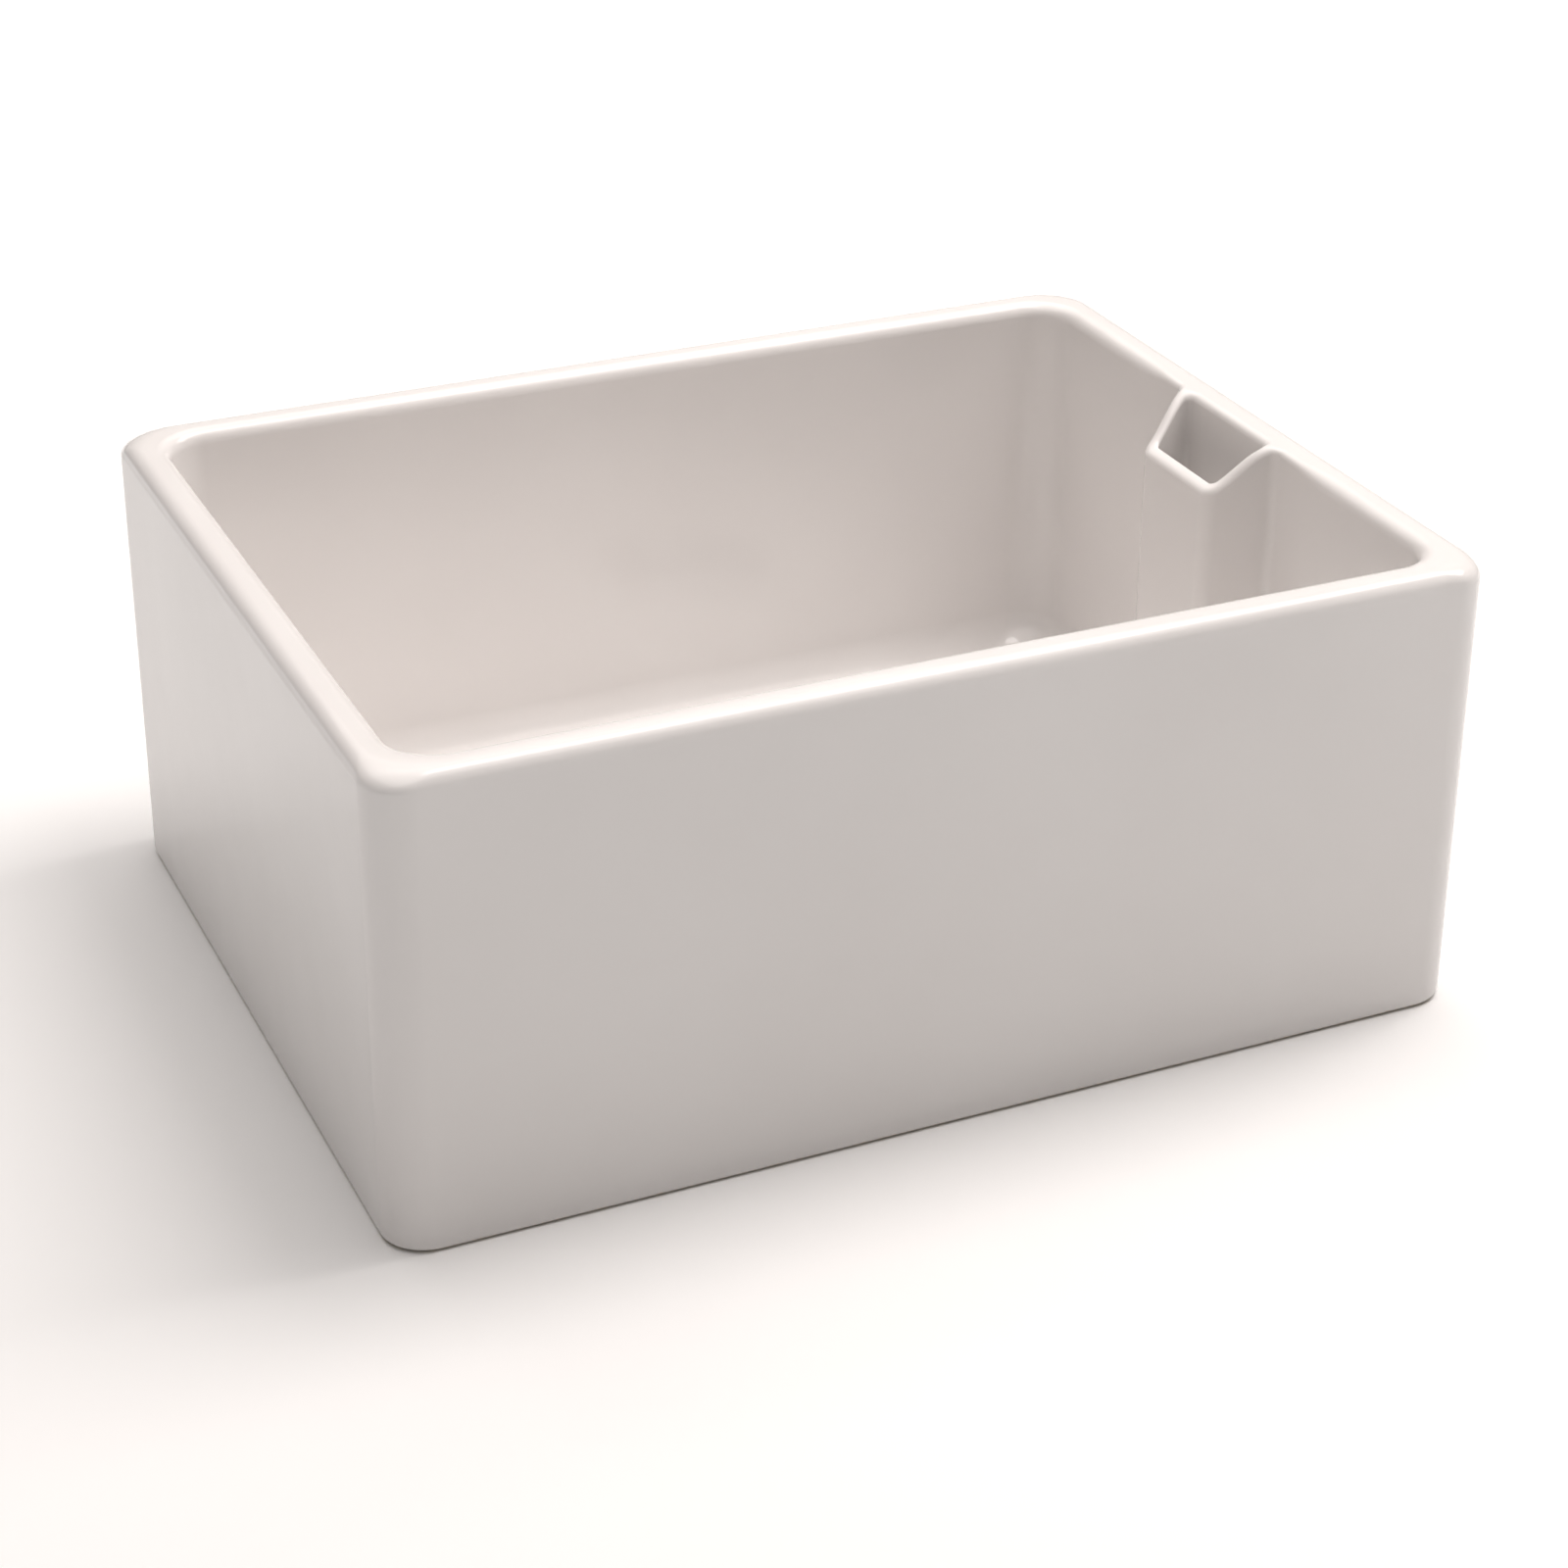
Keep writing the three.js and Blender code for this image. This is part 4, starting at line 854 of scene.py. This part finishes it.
bush_low, bush_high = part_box("basket_bush")
bush_top, bush_end = bush_high.z, bush_low.z
bush_seat = bush_top - 4.2 * MM
bush_bore, bush_radius, bush_head = 3.9 * MM, 5.8 * MM, 9 * MM
clip_groove, clip_groove_foot, clip_groove_top = 5 * MM, 1.3 * MM, 2.65 * MM
ring_groove, ring_groove_foot, ring_groove_top = 6 * MM, 0.9 * MM, 3.3 * MM
bush = spun([
    (bush_bore, bush_end, 0.3 * MM), (bush_radius, bush_end, 0.3 * MM),
    (bush_radius, bush_end + clip_groove_foot), (clip_groove, bush_end + clip_groove_foot),
    (clip_groove, bush_end + clip_groove_top), (bush_radius, bush_end + clip_groove_top),
    (bush_radius, bush_seat), (bush_head, bush_seat, 0.2 * MM),
    (bush_head, bush_top - 1 * MM, 0.7 * MM), (8 * MM, bush_top, 0.7 * MM),
    (bush_bore, bush_top, 0.3 * MM), (bush_bore, bush_seat + ring_groove_top),
    (ring_groove, bush_seat + ring_groove_top), (ring_groove, bush_seat + ring_groove_foot),
    (bush_bore, bush_seat + ring_groove_foot)], small_turn, bends=3)
guide_bush = piece("basket_bush_moulding", bush, nylon)
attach(guide_bush, "basket")
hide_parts("basket_bush")

# The snap ring is open at one side, so that it springs over the bush.
clip_steps, clip_sweep = 72, math.radians(332)
clip = spun(ring_section("bush_snap_ring", 5.3 * MM, 0.15 * MM), clip_steps, clip_sweep, bends=2)
snap_ring = piece("bush_snap_clip", clip, stainless)
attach(snap_ring, "basket")
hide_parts("bush_snap_ring")

ring_low, ring_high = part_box("post_o_ring")
cord_radius, cord_steps = 0.9 * MM, 20
cord_turn = ring_high.x - waste_x - cord_radius
cord_height = (ring_low.z + ring_high.z) / 2
grip = spun([(cord_turn + cord_radius * math.cos(a), cord_height + cord_radius * math.sin(a))
             for a in (2 * math.pi * k / cord_steps for k in range(cord_steps))], small_turn)
o_ring = piece("post_o_ring_moulding", grip, rubber)
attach(o_ring, "basket")
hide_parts("post_o_ring")

# ---------------------------------------------------------------- the push-pull plug
# A turned stainless post with a knob screwed on its top. At its foot a rubber disc is
# held between two plates by a brass nut, and closes the drain holes when pushed down.
post_low, post_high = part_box("plug_post")
post_end, post_top = post_low.z, post_high.z
knob_low, knob_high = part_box("post_knob")
knob_foot, knob_top = knob_low.z, knob_high.z
collar_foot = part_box("seal_upper_plate")[1].z + 0.3 * MM
collar_top, shaft_top = collar_foot + 1.6 * MM, knob_foot - 0.3 * MM
post_collar, shaft_radius, stud_radius = 7 * MM, 3.5 * MM, 2.5 * MM
post = spun([
    (0, post_end), (2.1 * MM, post_end), (stud_radius, post_end + 0.4 * MM),
    (stud_radius, collar_foot), (post_collar, collar_foot, 0.3 * MM),
    (post_collar, collar_top, 0.4 * MM), (shaft_radius, collar_top, 0.6 * MM),
    (shaft_radius, shaft_top, 0.3 * MM), (stud_radius, shaft_top),
    (stud_radius, post_top), (0, post_top)], small_turn, bends=4)
plug_stem = piece("plug_post_turning", post, stainless)
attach(plug_stem, "plug")
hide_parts("plug_post")

knob_radius, knob_neck, knob_brim = 10.5 * MM, 5 * MM, knob_top - 6 * MM
stud_hole, stud_hole_end = 2.8 * MM, knob_foot + 8 * MM
knob_profile = [
    (stud_hole, knob_foot), (knob_neck, knob_foot, 0.8 * MM),
    (knob_neck, knob_brim, 1.5 * MM), (knob_radius, knob_brim, 1.5 * MM),
    (knob_radius, knob_top, 4 * MM), (0, knob_top), (0, stud_hole_end),
    (stud_hole, stud_hole_end)]
knob = piece("plug_knob", spun(knob_profile, middle_turn, bends=8), stainless)
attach(knob, "plug")
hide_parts("post_knob")

seal_disc = piece(
    "plug_seal_disc",
    spun(ring_section("plug_seal", stud_hole, 1.2 * MM), middle_turn, bends=4), rubber)
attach(seal_disc, "plug")
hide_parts("plug_seal")

for plate, name in (("seal_upper_plate", "upper_plate_disc"),
                    ("seal_lower_plate", "lower_plate_disc")):
    disc = piece(name, spun(ring_section(plate, stud_hole, 0.35 * MM), middle_turn, bends=3),
                 stainless)
    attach(disc, "plug")
    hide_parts(plate)

nut_low, nut_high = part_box("plug_nut")
nut_middle = Vector((waste_x, 0, (nut_low.z + nut_high.z) / 2))
nut_radius, nut_edge = 4.62 * MM, 0.25 * MM
hexagon = bmesh.new()
bmesh.ops.create_cone(hexagon, cap_ends=True, segments=6, radius1=nut_radius, radius2=nut_radius,
                      depth=nut_high.z - nut_low.z,
                      matrix=Matrix.Translation(nut_middle) @ Matrix.Rotation(math.pi / 2, 4, "Z"))
bmesh.ops.bevel(hexagon, geom=hexagon.edges[:], offset=nut_edge, offset_type="OFFSET",
                segments=2, profile=0.5, affect="EDGES", material=-1)
hexagon = carved(hexagon, drills([(nut_middle, upward)], stud_hole, 12 * MM))
nut = piece("plug_nut_turning", hexagon, brass)
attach(nut, "plug")
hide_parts("plug_nut")

# ---------------------------------------------------------------- the studio
# A plain pale floor under soft boxes of light: a wide one overhead, one past the weir
# end, one behind the sink and one over the floor beyond. The room is as white as the floor.
floor_half, floor_dark, floor_light, floor_roughness = 12, (0.94,) * 3, (0.955,) * 3, 0.9
glow_start, glow_end, faint_glow, full_glow = 0.5, 3.0, 0.02, 0.85
warm_white, white = (1, 0.945, 0.912), (1, 1, 1)
wall_light, distance_light = 0.055, 1.0
ground = bmesh.new()
bmesh.ops.create_grid(ground, x_segments=1, y_segments=1, size=floor_half)
floor_white, tree, shade = shader("studio_floor")
where = tree.nodes.new("ShaderNodeTexCoord").outputs["Object"]
slow = mottle(tree, where, 0.8, 30)[0]
tree.links.new(two_tone(tree, slow, floor_dark, floor_light), shade.inputs["Base Color"])
shade.inputs["Roughness"].default_value = floor_roughness
# The floor is lit from below too, faintly by the sink and fully some metres away.
away = node(tree, "ShaderNodeVectorMath", [(0, where)], operation="LENGTH")
glow = node(tree, "ShaderNodeMapRange", [("Value", away.outputs["Value"])],
            **{"From Min": glow_start, "From Max": glow_end, "To Min": faint_glow,
               "To Max": full_glow},
            interpolation_type="SMOOTHSTEP")
tree.links.new(glow.outputs[0], shade.inputs["Emission Color"])
shade.inputs["Emission Strength"].default_value = 1.0
floor = piece("studio_ground", ground, floor_white)

bpy.context.scene.view_settings.view_transform = "Standard"
world = bpy.data.worlds.new("studio")
bpy.context.scene.world = world
world.use_nodes = True
room = world.node_tree
dim_walls = room.nodes["Background"]
dim_walls.inputs["Color"].default_value = (*warm_white, 1)
dim_walls.inputs["Strength"].default_value = wall_light
white_distance = node(room, "ShaderNodeBackground", Color=(*white, 1), Strength=distance_light)
seen = node(room, "ShaderNodeLightPath").outputs["Is Camera Ray"]
either = node(room, "ShaderNodeMixShader", [(0, seen), (1, dim_walls.outputs[0]),
                                            (2, white_distance.outputs[0])])
room.links.new(either.outputs[0], room.nodes["World Output"].inputs["Surface"])


def soft_light(name, place, aim, size, power, spread=180):
    """A rectangle of light in watts, turned to a point it is aimed at."""
    data = bpy.data.lights.new(name, "AREA")
    data.shape = "RECTANGLE"
    data.size, data.size_y = size
    data.energy = power
    data.color = warm_white
    data.spread = math.radians(spread)
    lamp = bpy.data.objects.new(name, data)
    lamp.location = place
    lamp.rotation_mode = "QUATERNION"
    lamp.rotation_quaternion = (Vector(aim) - Vector(place)).to_track_quat("-Z", "Y")
    bpy.context.scene.collection.objects.link(lamp)


soft_light("overhead", (0, 0, 2.4), (0, 0, 0), (3, 3), 49)
soft_light("past_the_weir_end", (1.1, 0, 2.2), (0, 0, 0.1), (1.0, 2.2), 38)
soft_light("behind_the_sink", (0, 1.6, 1.8), (0, 0, 0.1), (2.2, 1.0), 6)
soft_light("over_the_floor_beyond", (1.2, 3.0, 3.4), (1.2, 3.0, 0), (5, 2.6), 24, 100)
